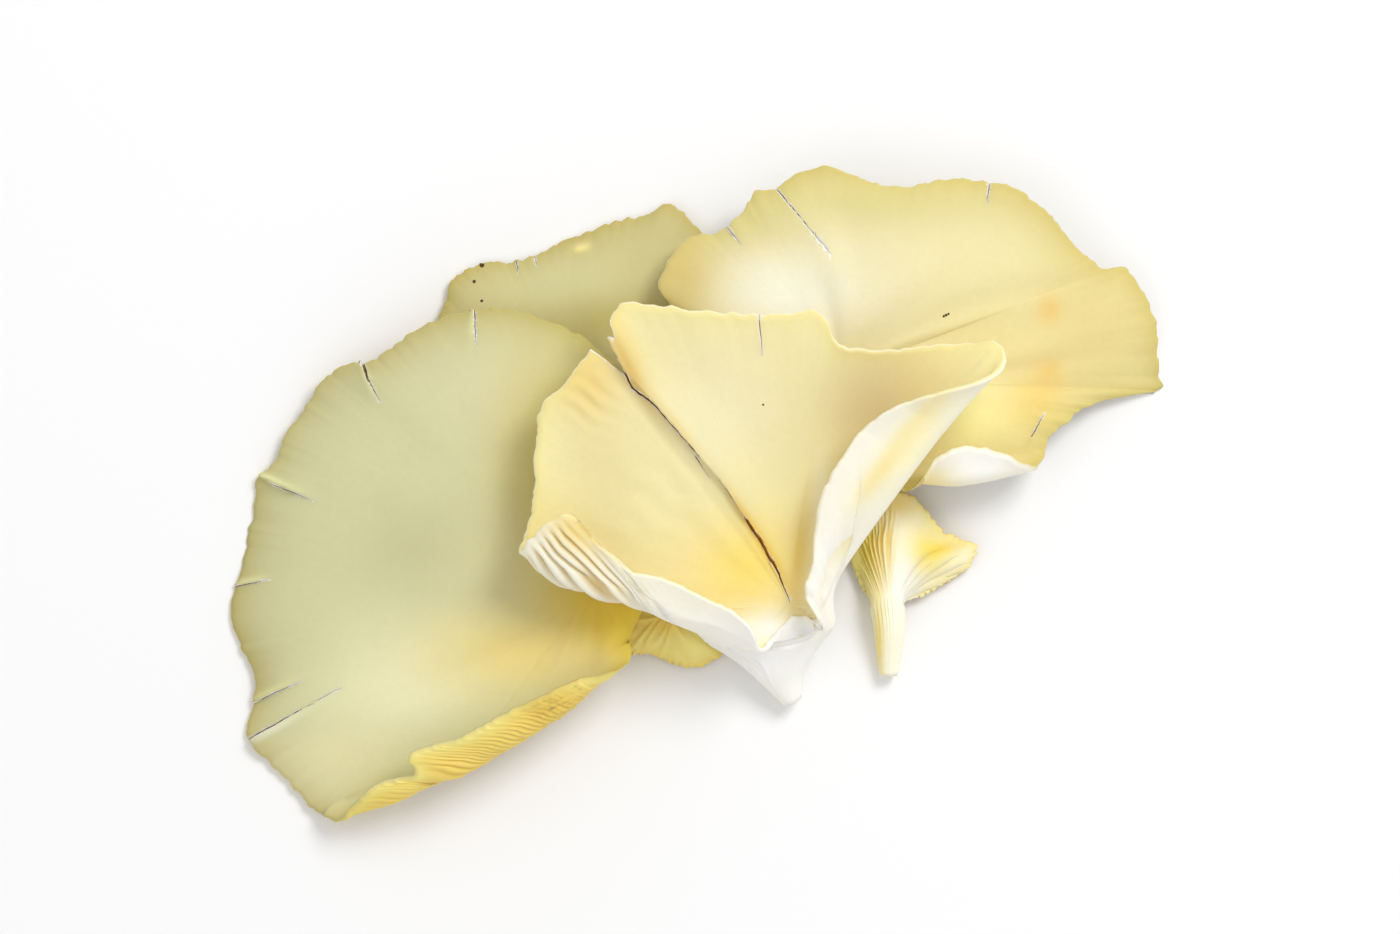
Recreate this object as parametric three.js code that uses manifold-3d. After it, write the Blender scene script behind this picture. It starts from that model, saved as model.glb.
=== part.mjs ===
// A cluster of six oyster mushrooms of one harvest, lying on one another on a table.
// Millimetres, +Z up, the table at z = 0, the origin below the middle of the cluster.
// Each mushroom is one closed solid: cap, gills and stem are one flesh.
import * as THREE from "three";
import { mergeVertices } from "three/addons/utils/BufferGeometryUtils.js";
import { ConvexGeometry } from "three/addons/geometries/ConvexGeometry.js";
import Module from "manifold-3d";

// Flesh and gills
const RIM_THICKNESS = 1.0; // the thin edge of a cap
const CAP_THICKNESS = 2.6; // the flesh of a cap away from its edge
const EDGE_TAPER = 14; // the flesh thins over this width of margin
const CROWN_WIDTH = 16; // and thickens to the stem within this distance of it
const CROWN_EDGE = 6; // but not within this distance of an edge that is near the stem
const GILL_DEPTH = 1.5;
const GILL_SLOPE = 0.9; // a gill stands out by no more than this share of the way to the next valley
const GILL_FADE = 8; // gills rise over this width of margin
const FOLD_RADIUS = 2.2; // of a margin that is folded over, at the cap's skin
const FOLD_SLOPE = 0.2; // share of the skin's own slope that a folded margin keeps
const TABLE_BLOCK = 400; // side of the block that trims what would lie below the table
const DOME_SCALE = 6.75; // makes the highest value of t * t * (1 - t) * DOME_SCALE one

const wasm = await Module();
wasm.setup();

const clamp01 = (x) => Math.min(1, Math.max(0, x));
const smooth = (x) => clamp01(x) ** 2 * (3 - 2 * clamp01(x));
const mix = (a, b, share) => a + (b - a) * share;

// Value of an evenly spaced list at a share from 0 to 1 of its length.
function along(list, share) {
  const place = clamp01(share) * (list.length - 1);
  const first = Math.min(Math.floor(place), list.length - 2);
  return mix(list[first], list[first + 1], place - first);
}

// Stations of a margin before it is folded: each is [share of the fold line, reach beyond it, height].
function beyond(fold, stations) {
  const line = foldLine(fold);
  return stations.map(([share, reach, z]) => {
    const out = reach + bowAt(fold, share);
    return [
      fold.from[0] + line.way[0] * share * line.length + line.out[0] * out,
      fold.from[1] + line.way[1] * share * line.length + line.out[1] * out,
      z,
    ];
  });
}

// Length, direction and outward side of the line that a margin is folded along.
function foldLine(fold) {
  const dx = fold.to[0] - fold.from[0];
  const dy = fold.to[1] - fold.from[1];
  const length = Math.hypot(dx, dy);
  const way = [dx / length, dy / length];
  return { length, way, out: [way[1], -way[0]] };
}

function bowAt(fold, share) {
  return fold.bow * 4 * clamp01(share) * (1 - clamp01(share));
}

// The cap's skin before any fold: straight in plan from the crown to each point of the rim.
function capSkin(spec) {
  const crown = new THREE.Vector3(...spec.crown);
  const points = spec.rim.map((station) => new THREE.Vector3(...station));
  const curve = new THREE.CatmullRomCurve3(points, true, "centripetal");
  curve.arcLengthDivisions = 1500;
  const columns = 2 * spec.gills;
  const rim = curve.getSpacedPoints(columns).slice(0, columns);
  const rimAt = (column) => {
    const whole = Math.floor(column);
    const a = rim[((whole % columns) + columns) % columns];
    const b = rim[(((whole + 1) % columns) + columns) % columns];
    return a.clone().lerp(b, column - whole);
  };
  const skin = (t, column) => {
    const edge = rimAt(column);
    const x = mix(crown.x, edge.x, t);
    const y = mix(crown.y, edge.y, t);
    const z = mix(crown.z, edge.z, t ** spec.dish) + spec.dome * DOME_SCALE * t * t * (1 - t);
    return new THREE.Vector3(x, y, z);
  };
  return { crown, rim, columns, skin };
}

// Height of the unfolded skin above a point of the plan.
function skinHeight(cap, x, y) {
  const { crown, rim, columns, skin } = cap;
  for (let j = 0; j < columns; j++) {
    const a = rim[j];
    const b = rim[(j + 1) % columns];
    const [ax, ay, bx, by] = [a.x - crown.x, a.y - crown.y, b.x - crown.x, b.y - crown.y];
    const det = ax * by - ay * bx;
    const u = ((x - crown.x) * by - (y - crown.y) * bx) / det;
    const v = (ax * (y - crown.y) - ay * (x - crown.x)) / det;
    if (u >= 0 && v >= 0) return skin(Math.min(1, u + v), j + v / (u + v)).z;
  }
  return crown.z;
}

// Distance in plan from a point to the nearest part of the rim.
function rimDistance(cap, p) {
  let best = Infinity;
  cap.rim.forEach((a, j) => {
    const b = cap.rim[(j + 1) % cap.columns];
    const [dx, dy] = [b.x - a.x, b.y - a.y];
    const share = clamp01(((p.x - a.x) * dx + (p.y - a.y) * dy) / (dx * dx + dy * dy));
    best = Math.min(best, Math.hypot(p.x - a.x - dx * share, p.y - a.y - dy * share));
  });
  return best;
}

// Rolls what lies beyond a fold line up and over it.
function folder(cap, fold) {
  const line = foldLine(fold);
  const heights = [];
  for (let i = 0; i <= 40; i++) {
    const reach = bowAt(fold, i / 40);
    heights.push(
      skinHeight(
        cap,
        fold.from[0] + (line.way[0] * line.length * i) / 40 + line.out[0] * reach,
        fold.from[1] + (line.way[1] * line.length * i) / 40 + line.out[1] * reach,
      ),
    );
  }
  return (p, skinZ) => {
    const [dx, dy] = [p.x - fold.from[0], p.y - fold.from[1]];
    const run = dx * line.way[0] + dy * line.way[1];
    const share = run / line.length;
    const reach = dx * line.out[0] + dy * line.out[1] - bowAt(fold, share);
    const beyondEnds = Math.max(0, -run, run - line.length);
    const most = (along(fold.angles, share) * Math.PI * (1 - smooth(beyondEnds / fold.fade))) / 180;
    if (reach <= 0 || most <= 0) return p;
    const base = along(heights, share);
    const angle = Math.min(reach / FOLD_RADIUS, most);
    const straight = reach - FOLD_RADIUS * angle;
    const arm = FOLD_RADIUS - (p.z - skinZ) - FOLD_SLOPE * (skinZ - base);
    const moved = arm * Math.sin(angle) + straight * Math.cos(angle);
    const raised = FOLD_RADIUS - arm * Math.cos(angle) + straight * Math.sin(angle);
    return new THREE.Vector3(
      p.x + line.out[0] * (moved - reach),
      p.y + line.out[1] * (moved - reach),
      base + raised,
    );
  };
}

// One ring of the stem: an ellipse square to the stem, its start turned as little as possible.
function stemRing(stem, index, theta) {
  const [x, y, z, wide, high] = stem[index];
  const before = new THREE.Vector3(...stem[Math.max(0, index - 1)].slice(0, 3));
  const after = new THREE.Vector3(...stem[Math.min(stem.length - 1, index + 1)].slice(0, 3));
  const way = after.sub(before).normalize();
  if (index === 0) way.add(new THREE.Vector3(0, 0, -1)).normalize();
  const turn = new THREE.Quaternion().setFromUnitVectors(new THREE.Vector3(0, 0, -1), way);
  const arm = new THREE.Vector3(wide * Math.cos(theta), high * Math.sin(theta), 0);
  return arm.applyQuaternion(turn).add(new THREE.Vector3(x, y, z));
}

// Half a turn about the Y axis, for a mushroom that is shaped gills down and lies gills up.
const turnStation = ([x, y, z, ...rest]) => [-x, y, -z, ...rest];
const turnOver = (spec) => ({
  ...spec,
  crown: turnStation(spec.crown),
  rim: spec.rim.map(turnStation).reverse(),
  stem: spec.stem.map(turnStation),
});

// Joins rings of points into one closed surface. A ring has all the columns or every second one.
function closedSurface(top, rings, bottom, facing) {
  const positions = [];
  const starts = [];
  const put = (p) => positions.push(facing * p.x, p.y, facing * p.z);
  put(top);
  for (const ring of rings) {
    starts.push(positions.length / 3);
    ring.forEach(put);
  }
  put(bottom);
  const last = positions.length / 3 - 1;
  const faces = [];
  const at = (r, j) => starts[r] + ((j + rings[r].length) % rings[r].length);
  rings[0].forEach((_, j) => faces.push(0, at(0, j), at(0, j + 1)));
  for (let r = 0; r + 1 < rings.length; r++) {
    const here = rings[r].length;
    const next = rings[r + 1].length;
    for (let j = 0; j < Math.min(here, next); j++) {
      if (here === next)
        faces.push(at(r, j), at(r + 1, j), at(r + 1, j + 1), at(r, j), at(r + 1, j + 1), at(r, j + 1));
      else if (here < next) {
        faces.push(at(r, j), at(r + 1, 2 * j), at(r + 1, 2 * j + 1));
        faces.push(at(r, j), at(r + 1, 2 * j + 1), at(r, j + 1));
        faces.push(at(r, j + 1), at(r + 1, 2 * j + 1), at(r + 1, 2 * j + 2));
      } else {
        faces.push(at(r, 2 * j), at(r + 1, j), at(r, 2 * j + 1));
        faces.push(at(r, 2 * j + 1), at(r + 1, j), at(r + 1, j + 1));
        faces.push(at(r, 2 * j + 1), at(r + 1, j + 1), at(r, 2 * j + 2));
      }
    }
  }
  const end = rings.length - 1;
  rings[end].forEach((_, j) => faces.push(last, at(end, j + 1), at(end, j)));
  return solidFrom(positions, faces);
}

function solidFrom(positions, faces) {
  return new wasm.Manifold(
    new wasm.Mesh({
      numProp: 3,
      vertProperties: new Float32Array(positions),
      triVerts: new Uint32Array(faces),
    }),
  );
}

function solidOf(geometry) {
  const bare = geometry.clone();
  bare.deleteAttribute("normal");
  bare.deleteAttribute("uv");
  const merged = mergeVertices(bare, 1e-4);
  return solidFrom(merged.attributes.position.array, merged.index.array);
}

// A mushroom: skin from the crown to the rim, gills from the rim to the stem, and the stem.
function mushroom(asLaid) {
  const spec = asLaid.turnedOver ? turnOver(asLaid) : asLaid;
  const cap = capSkin(spec);
  const { crown, rim, columns, skin } = cap;
  const folds = spec.folds.map((fold) => folder(cap, fold));
  const folded = (p, skinZ = p.z) => folds.reduce((q, fold) => (q === p ? fold(p, skinZ) : q), p);
  const theta = rim.map((p) => Math.atan2(p.y - crown.y, p.x - crown.x));
  const ridge = (j) => j % 2;
  const under = (t, j) => {
    const here = skin(t, j);
    const outwards = skin(Math.min(1, t + 0.02), j).sub(skin(Math.max(0, t - 0.02), j));
    const sideways = skin(t, j + 0.5).sub(skin(t, j - 0.5));
    const up = outwards.cross(sideways).normalize();
    const edge = rimDistance(cap, here);
    const near = Math.hypot(here.x - crown.x, here.y - crown.y);
    const flesh = RIM_THICKNESS + (CAP_THICKNESS - RIM_THICKNESS) * smooth(edge / EDGE_TAPER);
    const room = GILL_SLOPE * Math.min(skin(t, j + 1).distanceTo(here), skin(t, j - 1).distanceTo(here));
    const gill = ridge(j) * Math.min(GILL_DEPTH * smooth(edge / GILL_FADE), room);
    const p = here.clone().addScaledVector(up, -(flesh + gill));
    const thicker = (1 - smooth(near / CROWN_WIDTH)) * smooth(edge / CROWN_EDGE);
    p.z -= (spec.crownThickness - CAP_THICKNESS) * thicker;
    return folded(p, here.z);
  };
  const all = rim.map((_, j) => j);
  const half = all.filter((j) => j % 2 === 0);
  const rings = [];
  for (const t of spec.rows.slice(0, -1)) rings.push(half.map((j) => folded(skin(t, j))));
  rings.push(all.map((j) => folded(skin(1, j))));
  const inner = [...spec.rows].reverse().map((t) => 1 - t);
  for (const w of inner) {
    const blend = smooth((w - 0.55) / 0.45);
    if (blend >= 0.999) break;
    rings.push(
      all.map((j) => {
        const reach = Math.hypot(rim[j].x - crown.x, rim[j].y - crown.y);
        const near = Math.min(0.8, spec.stem[0][3] / reach);
        const p = under(1 - (1 - near) * w, j);
        return p.lerp(stemRing(spec.stem, 0, theta[j]), blend);
      }),
    );
  }
  spec.stem.forEach((_, i) => rings.push(half.map((j) => stemRing(spec.stem, i, theta[j]))));
  const foot = new THREE.Vector3(...spec.stem[spec.stem.length - 1].slice(0, 3));
  let solid = closedSurface(folded(crown), rings, foot, asLaid.turnedOver ? -1 : 1);
  for (const split of spec.splits) solid = solid.subtract(splitWedge(split));
  return solid.subtract(table);
}

// A tear in the flesh between stations [x, y, reach left, reach right, lowest and highest point].
function splitWedge({ stations, foot = 0.3 }) {
  let wedge = null;
  for (let i = 0; i + 1 < stations.length; i++) {
    const [a, b] = [stations[i], stations[i + 1]];
    const length = Math.hypot(b[0] - a[0], b[1] - a[1]);
    const left = [-(b[1] - a[1]) / length, (b[0] - a[0]) / length];
    const points = [];
    for (const [x, y, toLeft, toRight, low, high] of [a, b])
      for (const [z, share] of [[low, foot], [high, 1]]) {
        points.push(new THREE.Vector3(x + left[0] * toLeft * share, y + left[1] * toLeft * share, z));
        points.push(new THREE.Vector3(x - left[0] * toRight * share, y - left[1] * toRight * share, z));
      }
    const piece = solidOf(new ConvexGeometry(points));
    wedge = wedge ? wedge.add(piece) : piece;
  }
  return wedge;
}

const tableGeometry = new THREE.BoxGeometry(TABLE_BLOCK, TABLE_BLOCK, TABLE_BLOCK);
const table = solidOf(tableGeometry.translate(0, 0, -TABLE_BLOCK / 2));

// Rows from the crown to the rim, as shares of the way: even, or closer towards the margin.
const EVEN_ROWS = [0.08, 0.16, 0.24, 0.32, 0.4, 0.48, 0.56, 0.64, 0.72, 0.79, 0.86, 0.93, 1];
const MARGIN_ROWS = [0.12, 0.24, 0.36, 0.48, 0.6, 0.7, 0.77, 0.82, 0.87, 0.91, 0.955, 1];
const FEW_ROWS = [0.15, 0.35, 0.55, 0.72, 0.86, 1];

// Left: the biggest cap. Its lower right margin is folded up and over.
const leftFold = {
  from: [-59.2, -51.6],
  to: [-13.6, -26.4],
  bow: 2.0,
  angles: [120, 150, 150, 150, 150, 110],
  fade: 5,
};
const LEFT = {
  crown: [-16.5, -15.6, 9.2],
  crownThickness: 5,
  dish: 2.4,
  dome: 3.5,
  gills: 36,
  rows: MARGIN_ROWS,
  folds: [leftFold],
  rim: [
    ...beyond(leftFold, [
      [0.03, 6.6, 3.4],
      [0.11, 8, 3.5],
      [0.19, 7.2, 3.6],
      [0.26, 9.8, 3.7],
      [0.4, 10.2, 3.8],
      [0.55, 9.8, 4],
      [0.7, 9, 4.4],
      [0.85, 7.2, 5.2],
    ]),
    [-11.2, -28, 7],
    [-11, -24, 8],
    [-10.8, -20, 7.8],
    [-8, -12, 8.2],
    [-6, -2, 8],
    [-6.5, 8, 8.6],
    [-10.5, 18, 9.6],
    [-17, 25, 10.3],
    [-25, 29.5, 10.5],
    [-30, 30.9, 10.3],
    [-37, 31.2, 10],
    [-42, 29.7, 9.5],
    [-46, 28.5, 9],
    [-50, 26, 8],
    [-55.5, 22.2, 6.5],
    [-58.5, 22, 5.8],
    [-62, 20, 4.5],
    [-65, 16.5, 3.5],
    [-69, 10.5, 2.2],
    [-71.5, 5.5, 1.5],
    [-74.3, 2.4, 1],
    [-75.5, -5, 0.6],
    [-77.5, -14, 0.5],
    [-79, -19, 0.5],
    [-77.5, -25, 0.6],
    [-75, -31, 0.8],
    [-74.8, -35, 0.9],
    [-76.2, -40, 1],
    [-74.5, -43.5, 1],
    [-70, -48, 1],
    [-66, -52.5, 1.2],
    [-62, -55, 2],
  ],
  stem: [
    [-15, -14.8, 4.2, 4.6, 4.6],
    [-10.5, -12, 3.2, 3.7, 3.6],
    [-5.5, -9.3, 2.8, 3.2, 3.2],
  ],
  splits: [
    { stations: [[-37.4, 33, 0.4, 0.4, 2, 18], [-37, 24.8, 0, 0, 2, 18]] },
    { stations: [[-57, 23.6, 0.5, 0.5, 0, 16], [-53.3, 15.3, 0, 0, 0, 16]] },
    { stations: [[-76, 3.6, 0.5, 0.5, -2, 12], [-64.8, -1.2, 0, 0, -2, 12]] },
    { stations: [[-80, -16.2, 0.35, 0.35, -2, 12], [-72.3, -14.7, 0, 0, -2, 12]] },
    { stations: [[-77, -36.8, 0.4, 0.4, -2, 12], [-66.8, -31.8, 0, 0, -2, 12]] },
    { stations: [[-78, -42.8, 0.5, 0.5, -2, 14], [-59.8, -32.8, 0, 0, -2, 14]] },
  ],
};

// Back: a flat cap on the table, mostly covered.
const BACK = {
  crown: [-16, 7.4, 6.4],
  crownThickness: 4,
  dish: 2,
  dome: 1.2,
  gills: 30,
  rows: MARGIN_ROWS,
  folds: [],
  rim: [
    [-16, 1.5, 6],
    [-8, 3, 6.4],
    [0, 8, 6],
    [6, 16, 4.8],
    [9, 26, 3.4],
    [8, 35, 2.4],
    [4, 41, 2],
    [0.5, 45, 1.9],
    [-3, 48.3, 1.8],
    [-5.3, 49.1, 1.7],
    [-8, 47.5, 1.6],
    [-14, 46, 1.4],
    [-18, 44.5, 1.3],
    [-22, 43, 1.2],
    [-25, 41.5, 1.2],
    [-28, 40.2, 1.2],
    [-33, 39.2, 1.3],
    [-36, 39.3, 1.4],
    [-39, 37.6, 1.5],
    [-41.6, 35.5, 1.6],
    [-43, 31, 1.8],
    [-45.5, 26, 2.2],
    [-44, 19, 3],
    [-38, 12, 4],
    [-29, 6, 4.8],
    [-22, 2.5, 5.4],
  ],
  stem: [
    [-14.5, 6.6, 2.2, 3.2, 2],
    [-9, 4, 1.7, 2.6, 1.8],
    [-3, 1.4, 1.6, 2.3, 1.8],
  ],
  splits: [
    { stations: [[-30.6, 41, 0.4, 0.4, -2, 8], [-30, 37.3, 0, 0, -2, 8]] },
    { stations: [[-27.5, 42, 0.4, 0.4, -2, 8], [-27, 38.4, 0, 0, -2, 8]] },
  ],
};

// Right: a broad cap with a wavy margin, a folded front and a lobe at its right tip.
const rightFold = {
  from: [35, 5.3],
  to: [57, 7.2],
  bow: 0.8,
  angles: [50, 130, 150, 145, 110],
  fade: 6,
};
const RIGHT = {
  crown: [24, 20, 10.6],
  crownThickness: 4.6,
  dish: 2,
  dome: 1.8,
  gills: 36,
  rows: MARGIN_ROWS,
  folds: [rightFold],
  rim: [
    ...beyond(rightFold, [
      [-0.16, 2.6, 7.4],
      [0.04, 7, 6.8],
      [0.25, 10.4, 6.4],
      [0.5, 10.8, 6.4],
      [0.75, 9, 6.2],
      [0.92, 6.4, 6],
    ]),
    [58.6, 5.4, 6],
    [60, 9, 6.2],
    [62.5, 11.5, 6.2],
    [66, 14.4, 5.6],
    [70, 15.8, 4.2],
    [75, 16.8, 2.2],
    [79.2, 17.8, 0.8],
    [78.8, 20, 0.8],
    [78.6, 26, 1.6],
    [77, 32, 3],
    [75, 36, 4],
    [72.8, 38.5, 4.6],
    [71.2, 38.4, 4.8],
    [69.8, 38.1, 5],
    [68.8, 38.3, 5.4],
    [67, 39.5, 6.2],
    [64, 42.5, 7.4],
    [61, 46, 8.4],
    [57.5, 49.5, 9.4],
    [54, 52, 10.4],
    [50, 52.7, 11],
    [44, 53.2, 12],
    [40, 52.8, 12.4],
    [36, 51.7, 12.6],
    [31, 52.5, 12.2],
    [25, 54.3, 11.4],
    [22, 55.3, 11],
    [18, 54.3, 10.4],
    [13.5, 51.6, 9.8],
    [10, 51, 9.4],
    [8.5, 48.5, 9.4],
    [5.5, 45.3, 9.8],
    [3, 44, 10.2],
    [0, 43.5, 10.6],
    [-2.5, 41.8, 10.8],
    [-4.5, 38.8, 11],
    [-6.2, 35, 11.4],
    [-3.6, 31, 11.8],
    [-0.5, 25, 12],
    [5, 18.5, 12],
    [11.5, 12.8, 11.4],
    [18, 8, 10.4],
    [24.5, 4, 9.6],
  ],
  stem: [
    [23, 18.4, 4.4, 4.4, 4.4],
    [20, 13, 3.4, 3.7, 3.7],
    [17, 7, 3, 3.3, 3.3],
  ],
  splits: [
    { stations: [[4, 46.8, 0.4, 0.4, 2, 20], [8, 42, 0, 0, 2, 20]] },
    { stations: [[12.6, 52.8, 0.3, 0.3, 2, 20], [23, 40.5, 0, 0, 2, 20]] },
    { stations: [[50.1, 54, 0.3, 0.3, 2, 20], [49.5, 49, 0, 0, 2, 20]] },
    { stations: [[55, 5, 0.5, 0.5, 0, 20], [59.4, 14, 0, 0, 0, 20]] },
  ],
};

// Front: the fan on top, a funnel torn from its far rim to its neck, with both margins rolled in.
const frontRightFold = {
  from: [20, -18],
  to: [49, 22.6],
  bow: -3.5,
  angles: [155, 155, 152, 150, 150, 140, 115, 80],
  fade: 5,
};
const frontLeftFold = {
  from: [-27.4, -7.6],
  to: [10.6, -23.35],
  bow: 2.2,
  angles: [150, 150, 150, 150, 145, 140, 130],
  fade: 8,
};
const FRONT = {
  crown: [15.8, -18.2, 12.8],
  crownThickness: 6,
  dish: 1.25,
  dome: 0,
  gills: 36,
  rows: EVEN_ROWS,
  folds: [frontRightFold, frontLeftFold],
  rim: [
    [16.4, -21.2, 12.4],
    [19.2, -21, 12.2],
    [22.6, -22.6, 12.2],
    ...beyond(frontRightFold, [
      [0, 8.8, 12.6],
      [0.08, 9.6, 13.2],
      [0.16, 11.4, 14],
      [0.28, 14, 15.6],
      [0.43, 15, 17.2],
      [0.61, 14.5, 19.4],
      [0.77, 11.8, 21.4],
      [0.91, 7.4, 23],
    ]),
    [51.7, 23.8, 23.8],
    [50, 25.6, 24],
    [46, 25.1, 23.6],
    [40, 24.6, 23.2],
    [35, 24, 23],
    [30, 23.6, 23],
    [26, 24, 23.4],
    [23.4, 25.6, 24],
    [22.2, 28.6, 24.8],
    [20.6, 30.2, 25],
    [15, 30.1, 25.2],
    [10, 29.9, 25.4],
    [5, 30.1, 25.4],
    [0, 30.4, 25.4],
    [-5, 31.3, 25.2],
    [-10, 31.7, 25],
    [-12.6, 31.3, 24.8],
    [-14.4, 29, 24.4],
    [-16.6, 24.5, 22.4],
    [-18.2, 23, 22.4],
    [-21, 19, 22.4],
    [-24, 16.3, 22.3],
    [-25.8, 14.5, 22.2],
    [-26.4, 8, 21.8],
    [-26.9, 0, 21.4],
    [-27.6, -4.5, 21],
    ...beyond(frontLeftFold, [
      [0, 7.4, 20.4],
      [0.11, 15.4, 19.6],
      [0.24, 13.4, 18.4],
      [0.36, 12.4, 17.6],
      [0.44, 11.2, 17],
      [0.55, 12.4, 16.2],
      [0.67, 12.4, 15.2],
      [0.8, 11.4, 14.2],
      [0.9, 10.4, 13.4],
      [0.97, 8.4, 12.8],
    ]),
    [9.4, -28.2, 12.4],
    [12.6, -24.8, 12.2],
    [14.8, -22.4, 12.2],
  ],
  stem: [
    [11.9, -22, 8.2, 12.2, 4.8],
    [14, -26.4, 5.4, 7.8, 4.3],
    [14.7, -31, 3.8, 3.9, 3.3],
    [16.6, -35, 2.2, 1.7, 2.2],
  ],
  splits: [
    {
      stations: [
        [-17.5, 29.5, 0.3, 4, 17, 25.5],
        [-12, 20.6, 0.3, 2.6, 16, 23.4],
        [-9.6, 16.6, 0.25, 2, 15, 22.2],
      ],
      foot: 0.2,
    },
    {
      stations: [
        [-9.6, 16.6, 0.25, 2, 19.2, 22.2],
        [0.2, 6.3, 0.3, 0.8, 16.2, 19],
        [9, -6, 0.3, 0.6, 13.4, 16],
        [16.2, -18.8, 0, 0, 12, 14],
      ],
    },
    { stations: [[10.8, 31.5, 0.3, 0.3, 10, 32], [11.2, 23.2, 0, 0, 10, 32]] },
  ],
};

// Low: a small golden cap below the front one.
const LOW = {
  crown: [-4, -19.6, 4.2],
  crownThickness: 3,
  dish: 2.2,
  dome: 0.6,
  gills: 20,
  rows: FEW_ROWS,
  folds: [],
  rim: [
    [2.4, -20, 1.5],
    [1, -17.4, 3],
    [-1.6, -15.2, 4.8],
    [-6, -16, 4.6],
    [-9.6, -19.6, 4],
    [-11.7, -24, 3.4],
    [-11.3, -27, 2.6],
    [-8, -27.3, 1.9],
    [-5, -28.4, 1.6],
    [-2, -29.4, 1.5],
    [1, -29.4, 1.5],
    [3.6, -28.2, 1.5],
    [5.4, -26.4, 1.3],
    [4.2, -23.4, 1.2],
  ],
  stem: [
    [-3, -18.4, 1.5, 2, 1.4],
    [-1.2, -15.4, 1.2, 1.7, 1.2],
    [0.4, -12.4, 1.2, 1.5, 1.2],
  ],
  splits: [],
};

// Small: it lies with its gills up, so it is shaped gills down and turned over.
const SMALL = {
  crown: [32.4, -16, 3],
  crownThickness: 4,
  dish: 1.6,
  dome: 0,
  gills: 24,
  rows: FEW_ROWS,
  folds: [],
  turnedOver: true,
  rim: [
    [35.2, -17.8, 2],
    [38.4, -17, 1.4],
    [41.5, -15.4, 1],
    [44.5, -13.4, 1],
    [47.3, -10.6, 1.2],
    [47.6, -8.8, 1.6],
    [44.5, -7.7, 2],
    [42, -6.5, 2.2],
    [40, -4.2, 2.6],
    [38, -1.6, 3.2],
    [35.6, 0, 3.8],
    [33, 0.4, 4.4],
    [31, -1.3, 4],
    [28.8, -4.4, 2.6],
    [26.6, -7, 1],
    [26.8, -10, 1],
    [28.2, -14, 1.2],
    [30.2, -17, 1.6],
    [32.6, -17.8, 2],
  ],
  stem: [
    [32.6, -19, 4.4, 2.8, 2.4],
    [33, -22.5, 3.6, 2.6, 2.4],
    [33, -27, 2.6, 2.1, 2],
    [32.9, -30.8, 1.9, 1.5, 1.5],
  ],
  splits: [],
};

const PARTS = [
  { name: "mushroom_left", spec: LEFT, colour: 0xd6d3a8 },
  { name: "mushroom_back", spec: BACK, colour: 0xcdc891 },
  { name: "mushroom_right", spec: RIGHT, colour: 0xeadda6 },
  { name: "mushroom_front", spec: FRONT, colour: 0xf1e3a9 },
  { name: "mushroom_low", spec: LOW, colour: 0xddb454 },
  { name: "mushroom_small", spec: SMALL, colour: 0xf0e3b0 },
];

const cluster = new THREE.Group();
for (const { name, spec, colour } of PARTS) {
  const mesh = mushroom(spec).getMesh();
  const geometry = new THREE.BufferGeometry();
  geometry.setAttribute("position", new THREE.BufferAttribute(mesh.vertProperties, 3));
  geometry.setIndex(new THREE.BufferAttribute(mesh.triVerts, 1));
  geometry.computeVertexNormals();
  const material = new THREE.MeshStandardMaterial({ color: colour, roughness: 0.7, metalness: 0 });
  const piece = new THREE.Mesh(geometry, material);
  piece.name = name;
  cluster.add(piece);
}

// The origin goes below the middle of the cluster.
const middle = new THREE.Box3().setFromObject(cluster).getCenter(new THREE.Vector3());
cluster.position.set(-middle.x, -middle.y, 0);

export default cluster;
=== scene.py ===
# %% [markdown]
# # A cluster of oyster mushrooms
# Six pale yellow oyster mushrooms lie on one another on a white table, and the camera looks straight
# down on them. Each mushroom is one piece of flesh: a skin on top, gills below and a stem. The packed
# solids give the size and the place of each one, and this lesson grows finer ones over them.

# %% Setup
import math

import bpy
import numpy as np
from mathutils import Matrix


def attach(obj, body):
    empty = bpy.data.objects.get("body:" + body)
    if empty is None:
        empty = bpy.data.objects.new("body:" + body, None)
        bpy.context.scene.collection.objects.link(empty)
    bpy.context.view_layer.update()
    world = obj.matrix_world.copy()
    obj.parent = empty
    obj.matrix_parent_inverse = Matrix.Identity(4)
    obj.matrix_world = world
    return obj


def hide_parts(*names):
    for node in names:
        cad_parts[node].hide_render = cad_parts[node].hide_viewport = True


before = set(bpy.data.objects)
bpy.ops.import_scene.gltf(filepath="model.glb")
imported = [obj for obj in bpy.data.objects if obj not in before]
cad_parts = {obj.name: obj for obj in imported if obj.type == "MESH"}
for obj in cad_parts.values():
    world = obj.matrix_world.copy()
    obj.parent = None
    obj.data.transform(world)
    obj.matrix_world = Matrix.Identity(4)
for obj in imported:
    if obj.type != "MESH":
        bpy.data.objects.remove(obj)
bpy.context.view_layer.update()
MM = 0.001
TURN = 2 * math.pi

# %% [markdown]
# ## Small helpers for numbers
# Most forms of a mushroom are soft steps: the flesh thins to the margin, gills fade in, a fold starts
# slowly. One smooth step does all of these. Smooth random lists give each margin its own wobble, with a
# fixed seed, so that every run grows the same cluster.

# %% Soft steps and wobbles
def smooth(x):
    x = np.clip(x, 0.0, 1.0)
    return x * x * (3 - 2 * x)


def mix(a, b, share):
    return a + (b - a) * share


def unit(vectors):
    """The same directions with a length of one."""
    return vectors / np.maximum(1e-6, np.linalg.norm(vectors, axis=-1, keepdims=True))


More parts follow.
